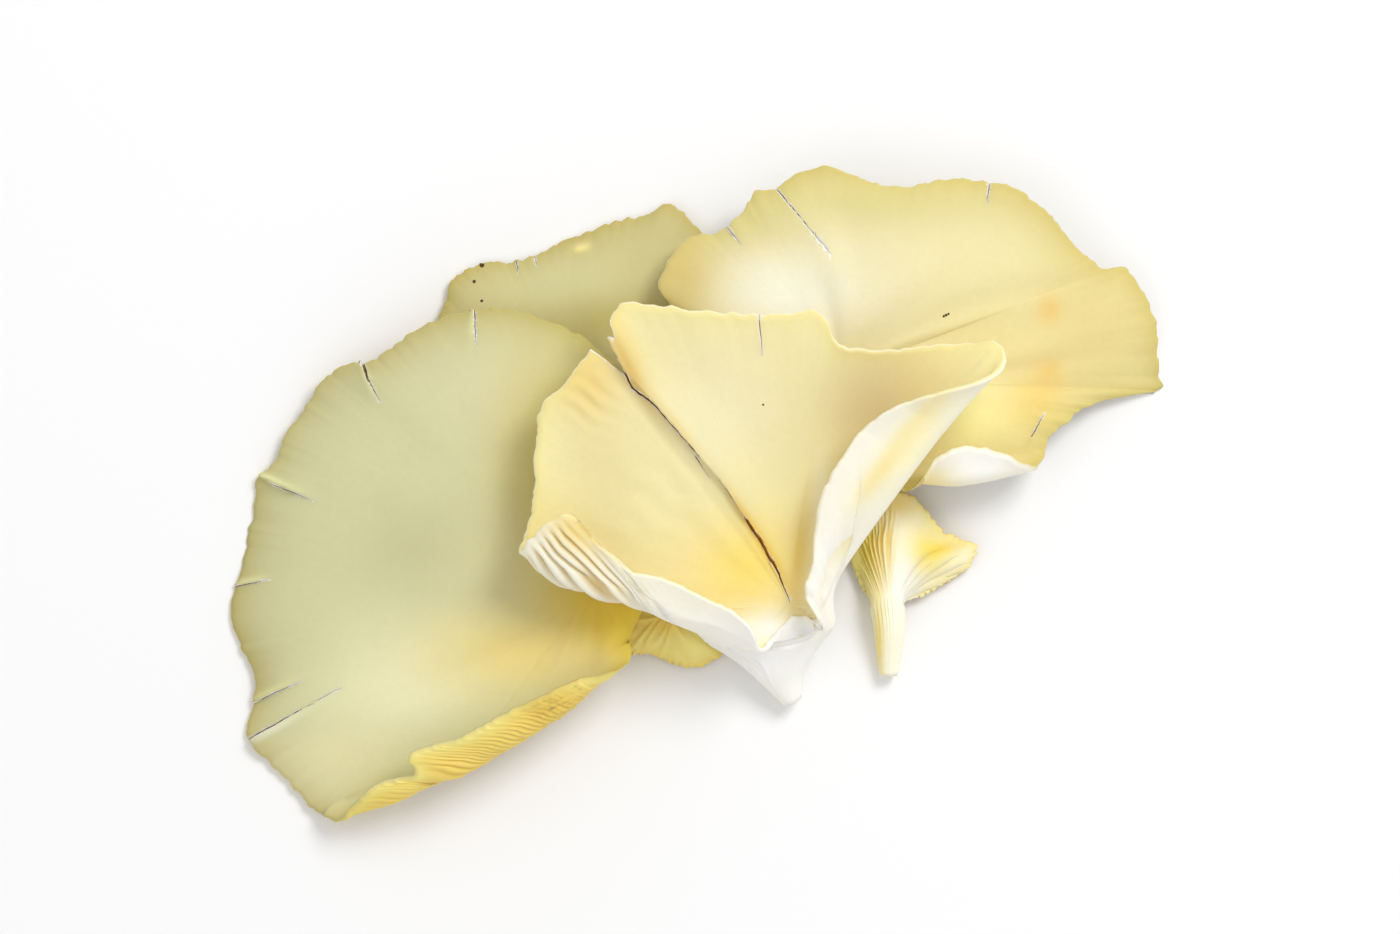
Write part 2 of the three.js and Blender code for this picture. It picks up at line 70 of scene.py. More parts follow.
def wobble(share, waves, seed):
    """A smooth random value of about -1 to 1 at each share of a closed round, with that many waves."""
    knots = np.random.default_rng(seed).uniform(-1, 1, waves)
    place = (np.asarray(share) % 1.0) * waves
    first = np.floor(place).astype(int)
    return mix(knots[first % waves], knots[(first + 1) % waves], smooth(place - first))


def linear(colour):
    """A colour as it is seen on a screen, 0 to 255, as linear light."""
    c = np.array(colour, float) / 255
    return np.where(c <= 0.04045, c / 12.92, ((c + 0.055) / 1.055) ** 2.4)


def paint(colour):
    """The same with full cover, as a finish takes it."""
    return (*linear(colour), 1.0)


print("smooth step at one quarter", float(smooth(0.25)))

# %% [markdown]
# ## The margin of a cap
# A Bezier curve would need handles, so this rule passes smoothly through every station instead. The
# stations are millimetres on the table: x to the right, y to the back, z up.

# %% A closed curve through stations
STEPS_PER_STATION = 40


def closed_curve(stations, count):
    """Evenly spaced points on a smooth closed curve through the stations."""
    p = np.array(stations, float)
    n = len(p)
    share = np.arange(STEPS_PER_STATION)[:, None] / STEPS_PER_STATION
    pieces = []
    for i in range(n):
        p0, p1, p2, p3 = p[(i - 1) % n], p[i], p[(i + 1) % n], p[(i + 2) % n]
        d0, d1, d2 = (np.linalg.norm(b - a) ** 0.5 for a, b in ((p0, p1), (p1, p2), (p2, p3)))
        t1 = ((p1 - p0) / d0 - (p2 - p0) / (d0 + d1) + (p2 - p1) / d1) * d1
        t2 = ((p2 - p1) / d1 - (p3 - p1) / (d1 + d2) + (p3 - p2) / d2) * d1
        cubic = 2 * (p1 - p2) + t1 + t2
        square = 3 * (p2 - p1) - 2 * t1 - t2
        pieces.append(p1 + share * t1 + share**2 * square + share**3 * cubic)
    fine = np.concatenate(pieces + [p[:1]])
    length = np.concatenate([[0], np.cumsum(np.linalg.norm(np.diff(fine, axis=0), axis=1))])
    even = np.arange(count) * length[-1] / count
    return np.stack([np.interp(even, length, fine[:, axis]) for axis in range(3)], axis=1), length[-1]


print("a curve is measured in", STEPS_PER_STATION, "steps between two stations")

# %% [markdown]
# ## Folds
# Some margins are folded up and over, so that their gills show from above. A lattice could bend them,
# but a rule keeps the flesh equally thick: what lies beyond the fold line runs round a small cylinder
# and then straight on. The line bows a little, and each fold tightens and opens along its length.

# %% Fold a margin over a line
FOLD_RADIUS, FOLD_SLOPE = 2.2, 0.2
BARE_FROM, BARE_WIDTH = 2, 3


class Fold:
    def __init__(self, start, end, bow, angles, fade):
        self.start = np.array(start, float)
        self.length = math.dist(start, end)
        self.way = (np.array(end, float) - self.start) / self.length
        self.out = np.array([self.way[1], -self.way[0]])
        self.bow, self.angles, self.fade = bow, angles, fade

    def bow_at(self, share):
        share = np.clip(share, 0, 1)
        return self.bow * 4 * share * (1 - share)

    def line(self, share, beyond=0.0):
        share = np.asarray(share, float)
        out = (beyond + self.bow_at(share))[..., None] * self.out
        return self.start + share[..., None] * self.length * self.way + out

    def stations(self, rows):
        """Margin stations before the fold, from [share of the line, reach beyond it, height]."""
        return [[*self.line(share, reach), z] for share, reach, z in rows]

    def place(self, points):
        """Share of the line and reach beyond it, for points of the plan."""
        offset = points[..., :2] - self.start
        share = offset @ self.way / self.length
        return share, offset @ self.out - self.bow_at(share)

    def beyond(self, points):
        """0 well before the fold line and 1 beyond it. Where it is 1, a smooth margin has no gills."""
        return smooth((self.place(points)[1] + BARE_FROM) / BARE_WIDTH)

    def bend(self, points, skin_z, height_on):
        """The points after the fold, and which of them it moved."""
        share, reach = self.place(points)
        run = share * self.length
        past_ends = np.maximum(0, np.maximum(-run, run - self.length))
        places = np.linspace(0, 1, len(self.angles))
        most = np.radians(np.interp(share, places, self.angles)) * (1 - smooth(past_ends / self.fade))
        base_places = np.linspace(0, 1, 41)
        base = np.interp(share, base_places, height_on(self.line(base_places)))
        moved_here = (reach > 0) & (most > 1e-6)
        angle = np.minimum(reach / FOLD_RADIUS, most)
        straight = reach - FOLD_RADIUS * angle
        arm = FOLD_RADIUS - (points[..., 2] - skin_z) - FOLD_SLOPE * (skin_z - base)
        moved = arm * np.sin(angle) + straight * np.cos(angle)
        raised = FOLD_RADIUS - arm * np.cos(angle) + straight * np.sin(angle)
        bent = points.copy()
        bent[..., :2] += (moved - reach)[..., None] * self.out
        bent[..., 2] = base + raised
        return np.where(moved_here[..., None], bent, points), moved_here


print("a fold of 150 degrees takes", round(math.radians(150) * FOLD_RADIUS, 1), "mm of margin")

# %% [markdown]
# ## The skin of a cap
# The skin runs straight in plan from the crown, above the stem, to every point of the margin. Its height
# follows a power of the way out, so one rule makes both a dome and a funnel. The margin has small nicks
# that fade inwards.

# %% Measures of a cap
RIM_THICKNESS, CAP_THICKNESS, EDGE_TAPER = 1.0, 2.6, 14
CROWN_WIDTH, CROWN_EDGE = 16, 6
COLUMNS_PER_GILL = 4
NICKS = ((0.28, 150), (0.16, 330))
NICK_FADE, CALM_FADE, CALM_STEPS = 9, 5, 14
SOFT_SHARE = 22
DOME_PEAK, RIPPLES, LUMP = 6.75, 26, 0.22


def soften(values, width):
    """A running mean, twice, of values round a closed margin."""
    for _ in range(2):
        wrapped = np.concatenate([values[-width:], values, values[:width]])
        values = np.convolve(wrapped, np.ones(2 * width + 1) / (2 * width + 1), "valid")
    return values


print("flesh is", CAP_THICKNESS, "mm thick and thins to", RIM_THICKNESS, "mm near the margin")


# %% Grow a skin
class Cap:
    """The skin of a cap. A calm one smooths its margin's bays well inwards."""

    def __init__(self, crown, rim, gills, dish, dome, ripple, seed, calm):
        self.crown = np.array(crown, float)
        self.columns = gills * COLUMNS_PER_GILL
        self.dish, self.dome, self.ripple, self.seed = dish, dome, ripple, seed
        self.fan = np.arange(self.columns) / self.columns
        self.rim, self.around = closed_curve(rim, self.columns)
        outwards = unit(self.rim[:, :2] - self.crown[:2])
        nicks = sum(deep * wobble(self.fan, count, seed + k) for k, (deep, count) in enumerate(NICKS))
        self.rim[:, :2] += outwards * nicks[:, None]
        far = np.hypot(*(self.rim[:, :2] - self.crown[:2]).T)
        self.even, self.fade = soften(far, self.columns // SOFT_SHARE), NICK_FADE
        if calm:
            turn = np.unwrap(np.arctan2(outwards[:, 1], outwards[:, 0]))
            grid = np.arange(720) * math.pi / 360
            by_angle = soften(np.interp(grid, turn, self.even, period=TURN), CALM_STEPS)
            self.even, self.fade = np.interp(turn, grid, by_angle, period=TURN), CALM_FADE
        self.nicks = outwards * (far - self.even)[:, None]

    def height(self, t, rim_z, fan):
        dome = self.dome * DOME_PEAK * t * t * (1 - t)
        wave = self.ripple * t**4 * wobble(fan, RIPPLES, self.seed + 2)
        lump = LUMP * smooth(t * 3) * (1 - t**6) * np.sin(t * 9 + 7 * wobble(fan, 9, self.seed + 3))
        return mix(self.crown[2], rim_z, t**self.dish) + dome + wave + lump

    def skin(self, t):
        """Points of the skin at shares t of the way out, one row of shares for each ring."""
        far = self.rim[:, :2] - self.nicks * (1 - t**self.fade)[..., None]
        plan = self.crown[:2] + (far - self.crown[:2]) * t[..., None]
        return np.concatenate([plan, self.height(t, self.rim[:, 2], self.fan)[..., None]], 2)

    def height_on(self, xy):
        """Height of the unfolded skin above points of the plan."""
        rel, rim_rel = xy - self.crown[:2], self.rim[:, :2] - self.crown[:2]
        angle = np.arctan2(rel[:, 1], rel[:, 0])
        rim_angle = np.arctan2(rim_rel[:, 1], rim_rel[:, 0])
        out = np.interp(angle, rim_angle, self.even, period=TURN)
        rim_z = np.interp(angle, rim_angle, self.rim[:, 2], period=TURN)
        fan = np.interp(angle, rim_angle, np.arange(self.columns), period=TURN) / self.columns
        return self.height(np.minimum(1, np.hypot(*rel.T) / out), rim_z, fan)

    def to_margin(self, points):
        """Distance in plan from each point to the margin."""
        rim = self.rim[::3, :2]
        step = np.roll(rim, -1, 0) - rim
        flat = points[..., :2].reshape(-1, 2)
        best = np.full(len(flat), 1e9)
        for a, d in zip(rim, step):
            share = np.clip((flat - a) @ d / (d @ d), 0, 1)
            best = np.minimum(best, np.hypot(*(flat - a - share[:, None] * d).T))
        return best.reshape(points.shape[:-1])


print("a skin has", COLUMNS_PER_GILL, "columns for each gill")

# %% [markdown]
# ## The stem
# A stem is a row of ellipses, each square to the way the stem runs. Only three or four are given. The
# rings between them are blended, so the stem flares softly into the gills.

# %% Rings of a stem
RINGS_BETWEEN = 5


def turn_from_down(way):
    """The rotation that takes straight down to this direction by the shortest way."""
    down = np.array([0.0, 0.0, -1.0])
    axis = np.cross(down, way)
    cos = float(down @ way)
    k = np.array([[0, -axis[2], axis[1]], [axis[2], 0, -axis[0]], [-axis[1], axis[0], 0]])
    return np.eye(3) + k + k @ k / (1 + cos)


def stem_rings(stem, theta):
    """Rings of points down the stem, with some blended rings between those that are given."""
    given = []
    for i, (x, y, z, wide, high) in enumerate(stem):
        before, after = np.array(stem[max(0, i - 1)][:3]), np.array(stem[min(len(stem) - 1, i + 1)][:3])
        way = (after - before) / np.linalg.norm(after - before)
        if i == 0:
            way = way + [0, 0, -1]
            way /= np.linalg.norm(way)
        arm = np.stack([wide * np.cos(theta), high * np.sin(theta), np.zeros_like(theta)], 1)
        given.append(arm @ turn_from_down(way).T + [x, y, z])
    rings = []
    for i in range(len(given) - 1):
        a, b = given[i], given[i + 1]
        slope_a = (b - given[max(0, i - 1)]) * (0.5 if i else 1.0)
        slope_b = (given[min(len(given) - 1, i + 2)] - a) * (0.5 if i + 2 < len(given) else 1.0)
        for k in range(RINGS_BETWEEN):
            s = k / RINGS_BETWEEN
            rings.append((1 + 2 * s) * (1 - s) ** 2 * a + s * (1 - s) ** 2 * slope_a
                         + s * s * (3 - 2 * s) * b + s * s * (s - 1) * slope_b)
    rings.append(given[-1])
    return rings


print("a stem has", RINGS_BETWEEN, "rings from one place to the next")

# %% [markdown]
# ## Colours by place
# Fresh caps are creamy in the middle, more olive or golden at the margin, and yellow where they are
# bruised or thin. A few soft oval patches, each with a middle, two reaches, a colour, a strength and
# sometimes a turn, tint the skin and the gill side. Some of them are painted light: shadows that one cap
# throws on another, shade inside a roll, and highlights.

# %% Tint the flesh
def turned_about(points, x, y, degrees=0.0):
    """How far points lie from a place, along and across a direction of the plan."""
    dx, dy = points[..., 0] - x, points[..., 1] - y
    cos, sin = math.cos(math.radians(degrees)), math.sin(math.radians(degrees))
    return dx * cos + dy * sin, dy * cos - dx * sin


def tint(points, edge, base, margin, margin_width, patches):
    """A colour for each point: the base, the margin's colour near the edge, and the soft patches."""
    shape = points.shape[:-1]
    colour = np.broadcast_to(linear(base), shape + (3,)).copy()
    near = np.exp(-edge / margin_width)[..., None]
    colour = mix(colour, linear(margin), near)
    for x, y, long, wide, shade, strength, *turn in patches:
        along, across = turned_about(points, x, y, *turn)
        away = (along / long) ** 2 + (across / wide) ** 2
        colour = mix(colour, linear(shade), (strength * np.exp(-away))[..., None])
    return colour


print("at its reach a patch keeps", round(math.exp(-1), 2), "of its strength")

# %% [markdown]
# ## Relief beside tears
# Flesh that tears lets go of its tension, so one side of a tear stands up as a lip, and the skin near it
# wrinkles. Each kind is a soft height with a place, a reach and a direction, added to the skin.

# %% Lips and wrinkles
LIP_REACH = 3.2


def lips(points, lines):
    """How far the skin stands up beside torn lines: each has stations, its left and its right lip."""
    raised = np.zeros(points.shape[:-1])
    for stations, left_lip, right_lip, *_ in lines:
        xy = np.array([station[:2] for station in stations], float)
        way = xy[-1] - xy[0]
        length = np.hypot(*way)
        way /= length
        offset = points[..., :2] - xy[0]
        share = offset @ way / length
        nearest = np.clip(share, 0, 1)
        bow = np.interp(nearest, (xy - xy[0]) @ way / length, (xy - xy[0]) @ [-way[1], way[0]])
        side = offset @ [-way[1], way[0]] - bow
        past = np.maximum(0, np.maximum(share - 1, -share)) * length
        fade = np.exp(-(np.hypot(side, past) / LIP_REACH) ** 1.5) * smooth((1.05 - share) / 0.5)
        raised += np.where(side > 0, left_lip, right_lip) * fade
    return raised


def wrinkles(points, rows):
    """Parallel wrinkles within soft patches: x, y, reach, direction in degrees, width and height."""
    raised = np.zeros(points.shape[:-1])
    for x, y, reach, direction, width, height in rows:
        along, across = turned_about(points, x, y, direction)
        inside = np.exp(-(along**2 + across**2) / reach**2)
        raised += height * inside * np.sin(TURN * across / width + 0.9 * np.sin(along / 1.3))
    return raised


def lumps(points, rows):
    """Low lumps and dents: x, y, half length, half width, height and direction in degrees."""
    raised = np.zeros(points.shape[:-1])
    for x, y, long, wide, height, *turn in rows:
        along, across = turned_about(points, x, y, *turn)
        raised += height * np.exp(-((along / long) ** 2 + (across / wide) ** 2) ** 1.5)
    return raised


print("a lip stands up within", LIP_REACH, "mm of its tear")

# %% [markdown]
# ## The gill side
# Thin gills hang below the flesh. Every fourth one reaches the stem, and the short ones between them
# start further out, as in real caps. Each point of the gill side lies square below the skin, so that the
# flesh keeps its thickness, and a small repeated profile adds the gills to that thickness.

# %% Gills below the flesh
GILL_PROFILE = np.array([0.0, 0.75, 1.0, 0.75])
GILL_STARTS = (0.0, 0.62, 0.34, 0.68)
GILL_DEPTH, GILL_FADE, GILL_RISE = 1.25, 5, 0.14
INWARDS, LARGEST_NECK = 0.02, 0.8


def gill_growth(cap, spec, t, bare):
    """Share of its full depth that each point's gill has: 0 between two gills, 1 on a ridge."""
    gill = np.arange(cap.columns) // COLUMNS_PER_GILL
    starts = np.array(GILL_STARTS)[gill % 4] + 0.06 * wobble(gill / gill.max(), 90, spec["seed"] + 5)
    starts = np.where(gill % 4 == 0, 0, starts)
    crest = GILL_PROFILE[np.arange(cap.columns) % COLUMNS_PER_GILL]
    return crest * smooth((t - starts) / GILL_RISE) * (1 - bare), crest * (gill % 4 == 0)


def spongy(cap, spec, t, below):
    """Crumbs of broken gills round one place."""
    x, y, reach, depth = spec["ragged"]
    torn = np.exp(-((below[..., 0] - x) ** 2 + (below[..., 1] - y) ** 2) / reach**2)
    crumbs = np.abs(wobble(cap.fan, cap.columns // 3, 71) * wobble(t * 3, 40, 72))
    return depth * torn * crumbs


def gill_side(cap, spec, relief):
    """The gill side before any fold, and what the stem, the folds and the finish need of it."""
    near = np.minimum(LARGEST_NECK, spec["stem"][0][3] / np.hypot(*(cap.rim[:, :2] - cap.crown[:2]).T))
    way = 1 - np.array(spec["rows"])[::-1]
    t = 1 - (1 - near[None, :]) * way[:, None]
    below, inner = cap.skin(t), cap.skin(t - INWARDS)
    below[..., 2] += relief(below)
    inner[..., 2] += relief(inner)
    sideways = np.roll(below, -1, 1) - np.roll(below, 1, 1)
    up = unit(np.cross(below - inner, sideways))
    edge = cap.to_margin(below)
    bare = spec["bare"](below) if "bare" in spec else 0 * t
    grown, long_gills = gill_growth(cap, spec, t, bare)
    spacing = np.linalg.norm(sideways, axis=2) * COLUMNS_PER_GILL / 2
    deepest = np.minimum(spec.get("gill_depth", GILL_DEPTH) * smooth(edge / GILL_FADE), 1.5 * spacing)
    flesh = RIM_THICKNESS + (CAP_THICKNESS - RIM_THICKNESS) * smooth(edge / EDGE_TAPER)
    if "ragged" in spec:
        flesh = flesh + spongy(cap, spec, t, below)
    lower = below - up * (flesh + grown * deepest)[..., None]
    from_crown = np.hypot(below[..., 0] - cap.crown[0], below[..., 1] - cap.crown[1])
    thicker = (1 - smooth(from_crown / CROWN_WIDTH)) * smooth(edge / CROWN_EDGE)
    lower[..., 2] -= (spec["crown_thickness"] - CAP_THICKNESS) * thicker
    to_stem = smooth((way - 0.55) / 0.45)[:, None]
    groove = (1 - grown) * (1 - bare) * smooth(edge / 3) * (1 - to_stem)
    return lower, below, t, edge, groove, to_stem, long_gills


print("long gills are", 4 * COLUMNS_PER_GILL, "points apart")

# %% [markdown]
# ## One mushroom as one mesh
# The mesh is a net of rings: from the crown over the skin to the margin, back under the cap along the
# gills, and down the stem. Each point also keeps what the finish needs: its colour, whether it is on the
# gill side, how deep it lies between two gills, and its place along the margin and on the way out.

# %% The stem with its ridges
STEM_RIDGE, STEM_WAVES = 0.35, 14


def ridged_stem(cap, spec, long_gills):
    """Rings of the stem, on which the long gills run down and fade."""
    theta = np.arctan2(cap.rim[:, 1] - cap.crown[1], cap.rim[:, 0] - cap.crown[0])
    rings = np.array(stem_rings(spec["stem"], theta))
    outward = unit(rings - rings.mean(1, keepdims=True))
    down = np.linspace(0, 1, len(rings))[:, None]
    ridge = long_gills[None, :] * (1 - down) ** 2 * spec.get("stem_ridges", STEM_RIDGE)
    waves = 0.12 * wobble(cap.fan, STEM_WAVES, spec["seed"] + 6)[None, :]
    return rings[0], rings + outward * (ridge + waves)[..., None], down


print("the long gills are ridges of", STEM_RIDGE, "mm on a stem")


# %% Grow a mushroom
MARGIN_BULGE, INSIDE = 0.28, 30


def folded(cap, spec, points, skin_z):
    """The points after all folds. Where two folds meet, the first one holds."""
    result, done = points, np.zeros(points.shape[:-1], bool)
    for fold in spec.get("folds", []):
        bent, moved = fold.bend(points, skin_z, cap.height_on)
        result = np.where((moved & ~done)[..., None], bent, result)
        done |= moved
    return result


def grow(spec, tears):
    """Rings of points and, for each point, the values that the finish reads."""
    cap = Cap(spec["crown"], spec["rim"], spec["gills"], spec["dish"], spec["dome"],
              spec["ripple"], spec["seed"], spec.get("calm", False))

    def relief(points):
        return (lips(points, tears + spec.get("ledges", [])) + wrinkles(points, spec.get("wrinkles", []))
                + lumps(points, spec.get("lumps", [])))

    t = np.array(spec["rows"])[:, None] * np.ones(cap.columns)
    skin = cap.skin(t)
    skin[..., 2] += relief(skin)
    top = folded(cap, spec, skin, skin[..., 2])
    lower, below, under_t, under_edge, groove, to_stem, long_gills = gill_side(cap, spec, relief)
    bottom = folded(cap, spec, lower, below[..., 2])
    neck, rings, down = ridged_stem(cap, spec, long_gills)
    bottom = mix(bottom, neck[None], to_stem[..., None])
    lip = top[-1] - top[-2]
    bulge = mix(top[-1], bottom[0], 0.5)
    bulge = bulge + MARGIN_BULGE * lip / np.maximum(1e-6, np.linalg.norm(lip, axis=1))[:, None]
    points = np.concatenate([top, bulge[None], bottom, rings[1:]])

    def stacked(on_skin, on_margin, on_gills, on_stem):
        parts = zip((on_skin, on_margin, on_gills, on_stem), (len(top), 1, len(bottom), len(rings) - 1))
        return np.concatenate([np.broadcast_to(part, (rows, cap.columns)) for part, rows in parts])

    values = {
        "under": stacked(0, 0.5, 1, 1),
        "groove": stacked(0, 0, groove, 0),
        "fan": np.broadcast_to(cap.fan, points.shape[:2]) * cap.around,
        "out": stacked(t, 1, under_t, -down[1:]),
    }
    edge = stacked(cap.to_margin(skin), 0, under_edge, INSIDE)
    upper = tint(points, edge, *spec["skin_colours"])
    lower_tint = tint(points, edge, *spec["gill_colours"])
    colour = mix(upper, lower_tint, values["under"][..., None])
    return cap, points, np.array(spec["stem"][-1][:3], float), values, colour


print("a margin bulges by", MARGIN_BULGE, "mm")

# %% [markdown]
# ## From rings to a Blender mesh
# Blender's mesh takes lists of points and faces. The rings give four-sided faces, and a fan of
# triangles closes each end. A mushroom that lies with its gills up is grown the other way round and then
# given half a turn about the direction to the back.

# %% Make the mesh
def placed(name, data):
    """A new object of the scene."""
    made = bpy.data.objects.new(name, data)
    bpy.context.scene.collection.objects.link(made)
    return made


def mesh_from(name, points, first, last, values, colour, turned):
    rings, columns = points.shape[:2]
    flat = np.concatenate([first[None], points.reshape(-1, 3), last[None]])
    if turned:
        flat = flat * [-1, 1, -1]
    flat = flat * MM
    flat[:, 2] = np.maximum(flat[:, 2], 0)
    j = np.arange(columns)
    k = (j + 1) % columns
    faces = [(0, 1 + a, 1 + b) for a, b in zip(j, k)]
    for r in range(rings - 1):
        low, high = 1 + r * columns, 1 + (r + 1) * columns
        faces += list(zip(low + j, high + j, high + k, low + k))
    end = 1 + (rings - 1) * columns
    faces += [(len(flat) - 1, end + b, end + a) for a, b in zip(j, k)]
    mesh = bpy.data.meshes.new(name)
    mesh.from_pydata(flat.tolist(), [], [tuple(int(v) for v in face) for face in faces])
    for key, rows in values.items():
        data = np.concatenate([[rows[0].mean()], rows.reshape(-1), [rows[-1].mean()]])
        mesh.attributes.new(key, "FLOAT", "POINT").data.foreach_set("value", data.astype(np.float32))
    tinted = np.concatenate([colour[0].mean(0)[None], colour.reshape(-1, 3), colour[-1].mean(0)[None]])
    rgba = np.concatenate([tinted, np.ones((len(tinted), 1))], 1).astype(np.float32)
    mesh.attributes.new("tint", "FLOAT_COLOR", "POINT").data.foreach_set("color", rgba.ravel())
    mesh.shade_smooth()
    return placed(name, mesh)


print("net points become mesh points at", MM, "metres for a millimetre")

# %% [markdown]
# ## Tears
# A tear is a narrow wedge through the flesh. It could be painted, but a real gap keeps its shape from
# every side. A wavy wedge is made along the tear and subtracted with a Boolean modifier, and the cut
# faces take the wedge's own finish, the torn flesh. They are shaded flat, and the skin stays smooth.

# %% Make a wedge
TEAR_STEP, TEAR_LAYERS = 0.7, 4
NARROWEST, ROUGH_FROM, SWAY = 0.015, 0.3, 2.5


def tear_wedge(name, stations, height_on, seed, foot=0.25, roughness=0.12):
    """A closed wedge along stations [x, y, reach left, reach right, depth, rise], with ragged sides."""
    stations = np.array(stations, float)
    skin_z = height_on(stations[:, :2])
    stations[:, 4], stations[:, 5] = skin_z - stations[:, 4], skin_z + stations[:, 5]
    length = np.concatenate([[0], np.cumsum(np.hypot(*np.diff(stations[:, :2], axis=0).T))])
    count = max(6, int(length[-1] / TEAR_STEP))
    at = np.linspace(0, length[-1], count)
    rows = np.stack([np.interp(at, length, stations[:, c]) for c in range(6)], 1)
    way = unit(np.gradient(rows[:, :2], axis=0))
    left = np.stack([-way[:, 1], way[:, 0]], 1)
    random = np.random.default_rng(seed)
    sway = np.convolve(random.uniform(-1, 1, count + 4), np.ones(5) / 5, "valid")
    points = []
    for layer in range(TEAR_LAYERS + 1):
        share = layer / TEAR_LAYERS
        for side in (1, -1):
            wide = rows[:, 2] if side > 0 else rows[:, 3]
            wide = wide * mix(foot, 1.0, share) + NARROWEST
            rough = roughness * random.uniform(-1, 1, count) * np.minimum(1, wide / ROUGH_FROM)
            place = sway * roughness * SWAY + side * np.maximum(wide + rough, 0.01)
            xy = rows[:, :2] + left * place[:, None]
            points.append(np.concatenate([xy, mix(rows[:, 4], rows[:, 5], share)[:, None]], 1))
    loop = [2 * k for k in range(TEAR_LAYERS + 1)] + [2 * k + 1 for k in range(TEAR_LAYERS, -1, -1)]
    verts = np.concatenate([points[k] for k in loop])
    faces, n = [], len(loop)
    for a in range(n):
        b = (a + 1) % n
        for i in range(count - 1):
            faces.append((a * count + i, b * count + i, b * count + i + 1, a * count + i + 1))
    faces.append(tuple(a * count for a in reversed(range(n))))
    faces.append(tuple(a * count + count - 1 for a in range(n)))
    mesh = bpy.data.meshes.new(name)
    mesh.from_pydata((verts * MM).tolist(), [], faces)
    return placed(name, mesh)


print("a tear has a place every", TEAR_STEP, "mm")


# %% Cut a tear
def cut(piece, wedges, torn, shade):
    """Subtracts the wedges. Their finish and their tint stay on the faces of the cut."""
    for wedge in wedges:
        wedge.data.materials.append(torn)
        tinted = np.tile(np.array(paint(shade), np.float32), len(wedge.data.vertices))
        wedge.data.attributes.new("tint", "FLOAT_COLOR", "POINT").data.foreach_set("color", tinted)
        modifier = piece.modifiers.new("tear", "BOOLEAN")
        modifier.operation, modifier.solver, modifier.object = "DIFFERENCE", "MANIFOLD", wedge
        modifier.material_mode = "TRANSFER"
    bpy.context.view_layer.update()
    finished = bpy.data.meshes.new_from_object(piece.evaluated_get(bpy.context.evaluated_depsgraph_get()))
    piece.modifiers.clear()
    slots = np.zeros(len(finished.polygons), np.int32)
    finished.polygons.foreach_get("material_index", slots)
    finished.polygons.foreach_set("use_smooth", slots == 0)
    piece.data = finished
    for wedge in wedges:
        bpy.data.objects.remove(wedge)
    print(piece.name, "has", len(wedges), "tears and", len(finished.polygons), "faces")


# %% [markdown]
# ## Shader maths
# A shader is written as sums: a small class wraps a socket, so that 1 - mask adds a Math node. Colours
# are mixed by the Mix node. One method adds any other node, with its settings first.

# %% Write shaders as expressions
class Wire:
    """A value in a material that can be added, multiplied and compared like a number."""

    def __init__(self, finish, socket):
        self.finish, self.socket = finish, socket

    def _with(self, operation, *others):
        return self.finish.node("ShaderNodeMath", {"operation": operation}, *others)["Value"]

    def __add__(self, other):
        return self._with("ADD", self, other)

    def __radd__(self, other):
        return self._with("ADD", other, self)

    def __sub__(self, other):
        return self._with("SUBTRACT", self, other)

    def __rsub__(self, other):
        return self._with("SUBTRACT", other, self)

    def __mul__(self, other):
        return self._with("MULTIPLY", self, other)

    def __rmul__(self, other):
        return self._with("MULTIPLY", other, self)

    def __truediv__(self, other):
        return self._with("DIVIDE", self, other)

    def __rtruediv__(self, other):
        return self._with("DIVIDE", other, self)

    def clamp(self):
        return self._with("MAXIMUM", self._with("MINIMUM", self, 1.0), 0.0)


class Finish:
    """A material that is built from expressions."""

    def __init__(self, name, **constants):
        self.material = bpy.data.materials.new(name)
        self.material.use_nodes = True
        self.tree = self.material.node_tree
        self.shader = self.tree.nodes["Principled BSDF"]
        for key, value in constants.items():
            self.feed(key.replace("_", " "), value)

    def put(self, socket, value):
        if isinstance(value, Wire):
            self.tree.links.new(value.socket, socket)
        else:
            socket.default_value = value

    def node(self, kind, settings=None, *values, **named):
        """Adds a node: settings first, then values or links by place or by name."""
        made = self.tree.nodes.new(kind)
        for key, value in (settings or {}).items():
            setattr(made, key, value)
        for index, value in [*enumerate(values), *((k.replace("_", " "), v) for k, v in named.items())]:
            self.put(made.inputs[index], value)
        return {socket.name: Wire(self, socket) for socket in reversed(made.outputs)}

    def value(self, name):
        return self.node("ShaderNodeAttribute", {"attribute_name": name})["Fac"]

    def noise(self, vector, scale, detail, roughness):
        return self.node("ShaderNodeTexNoise", {}, Vector=vector, Scale=scale, Detail=detail,
                         Roughness=roughness)["Fac"]

    def vector(self, x, y, z):
        return self.node("ShaderNodeCombineXYZ", {}, x, y, z)["Vector"]

    def blend(self, share, first, second, how="MIX"):
        """Mixes two colours."""
        made = self.tree.nodes.new("ShaderNodeMix")
        made.data_type, made.blend_type = "RGBA", how
        for index, value in zip((0, 6, 7), (share, first, second)):
            self.put(made.inputs[index], value)
        return Wire(self, made.outputs[2])

    def feed(self, name, value):
        self.put(self.shader.inputs[name], value)

    def bump(self, strength, distance, height):
        made = self.node("ShaderNodeBump", {}, Strength=strength, Distance=distance, Height=height)
        self.feed("Normal", made["Normal"])


print("shader maths ready")

# %% [markdown]
# ## Mushroom flesh
# Mushroom skin is matt and a little waxy, and light goes some way into it. Its colour comes from the
# tint of each point. Fine fibres run from the crown to the margin and soft clouds vary the tone. The
# grooves between gills get a painted shade, darker and more golden. Dark crumbs of soil lie here and
# there.

# %% Make the flesh finish
FIBRE, CLOUD, GRAIN, BUMP = 0.016, 0.07, 0.05, 0.22
SOIL = (74, 58, 30)


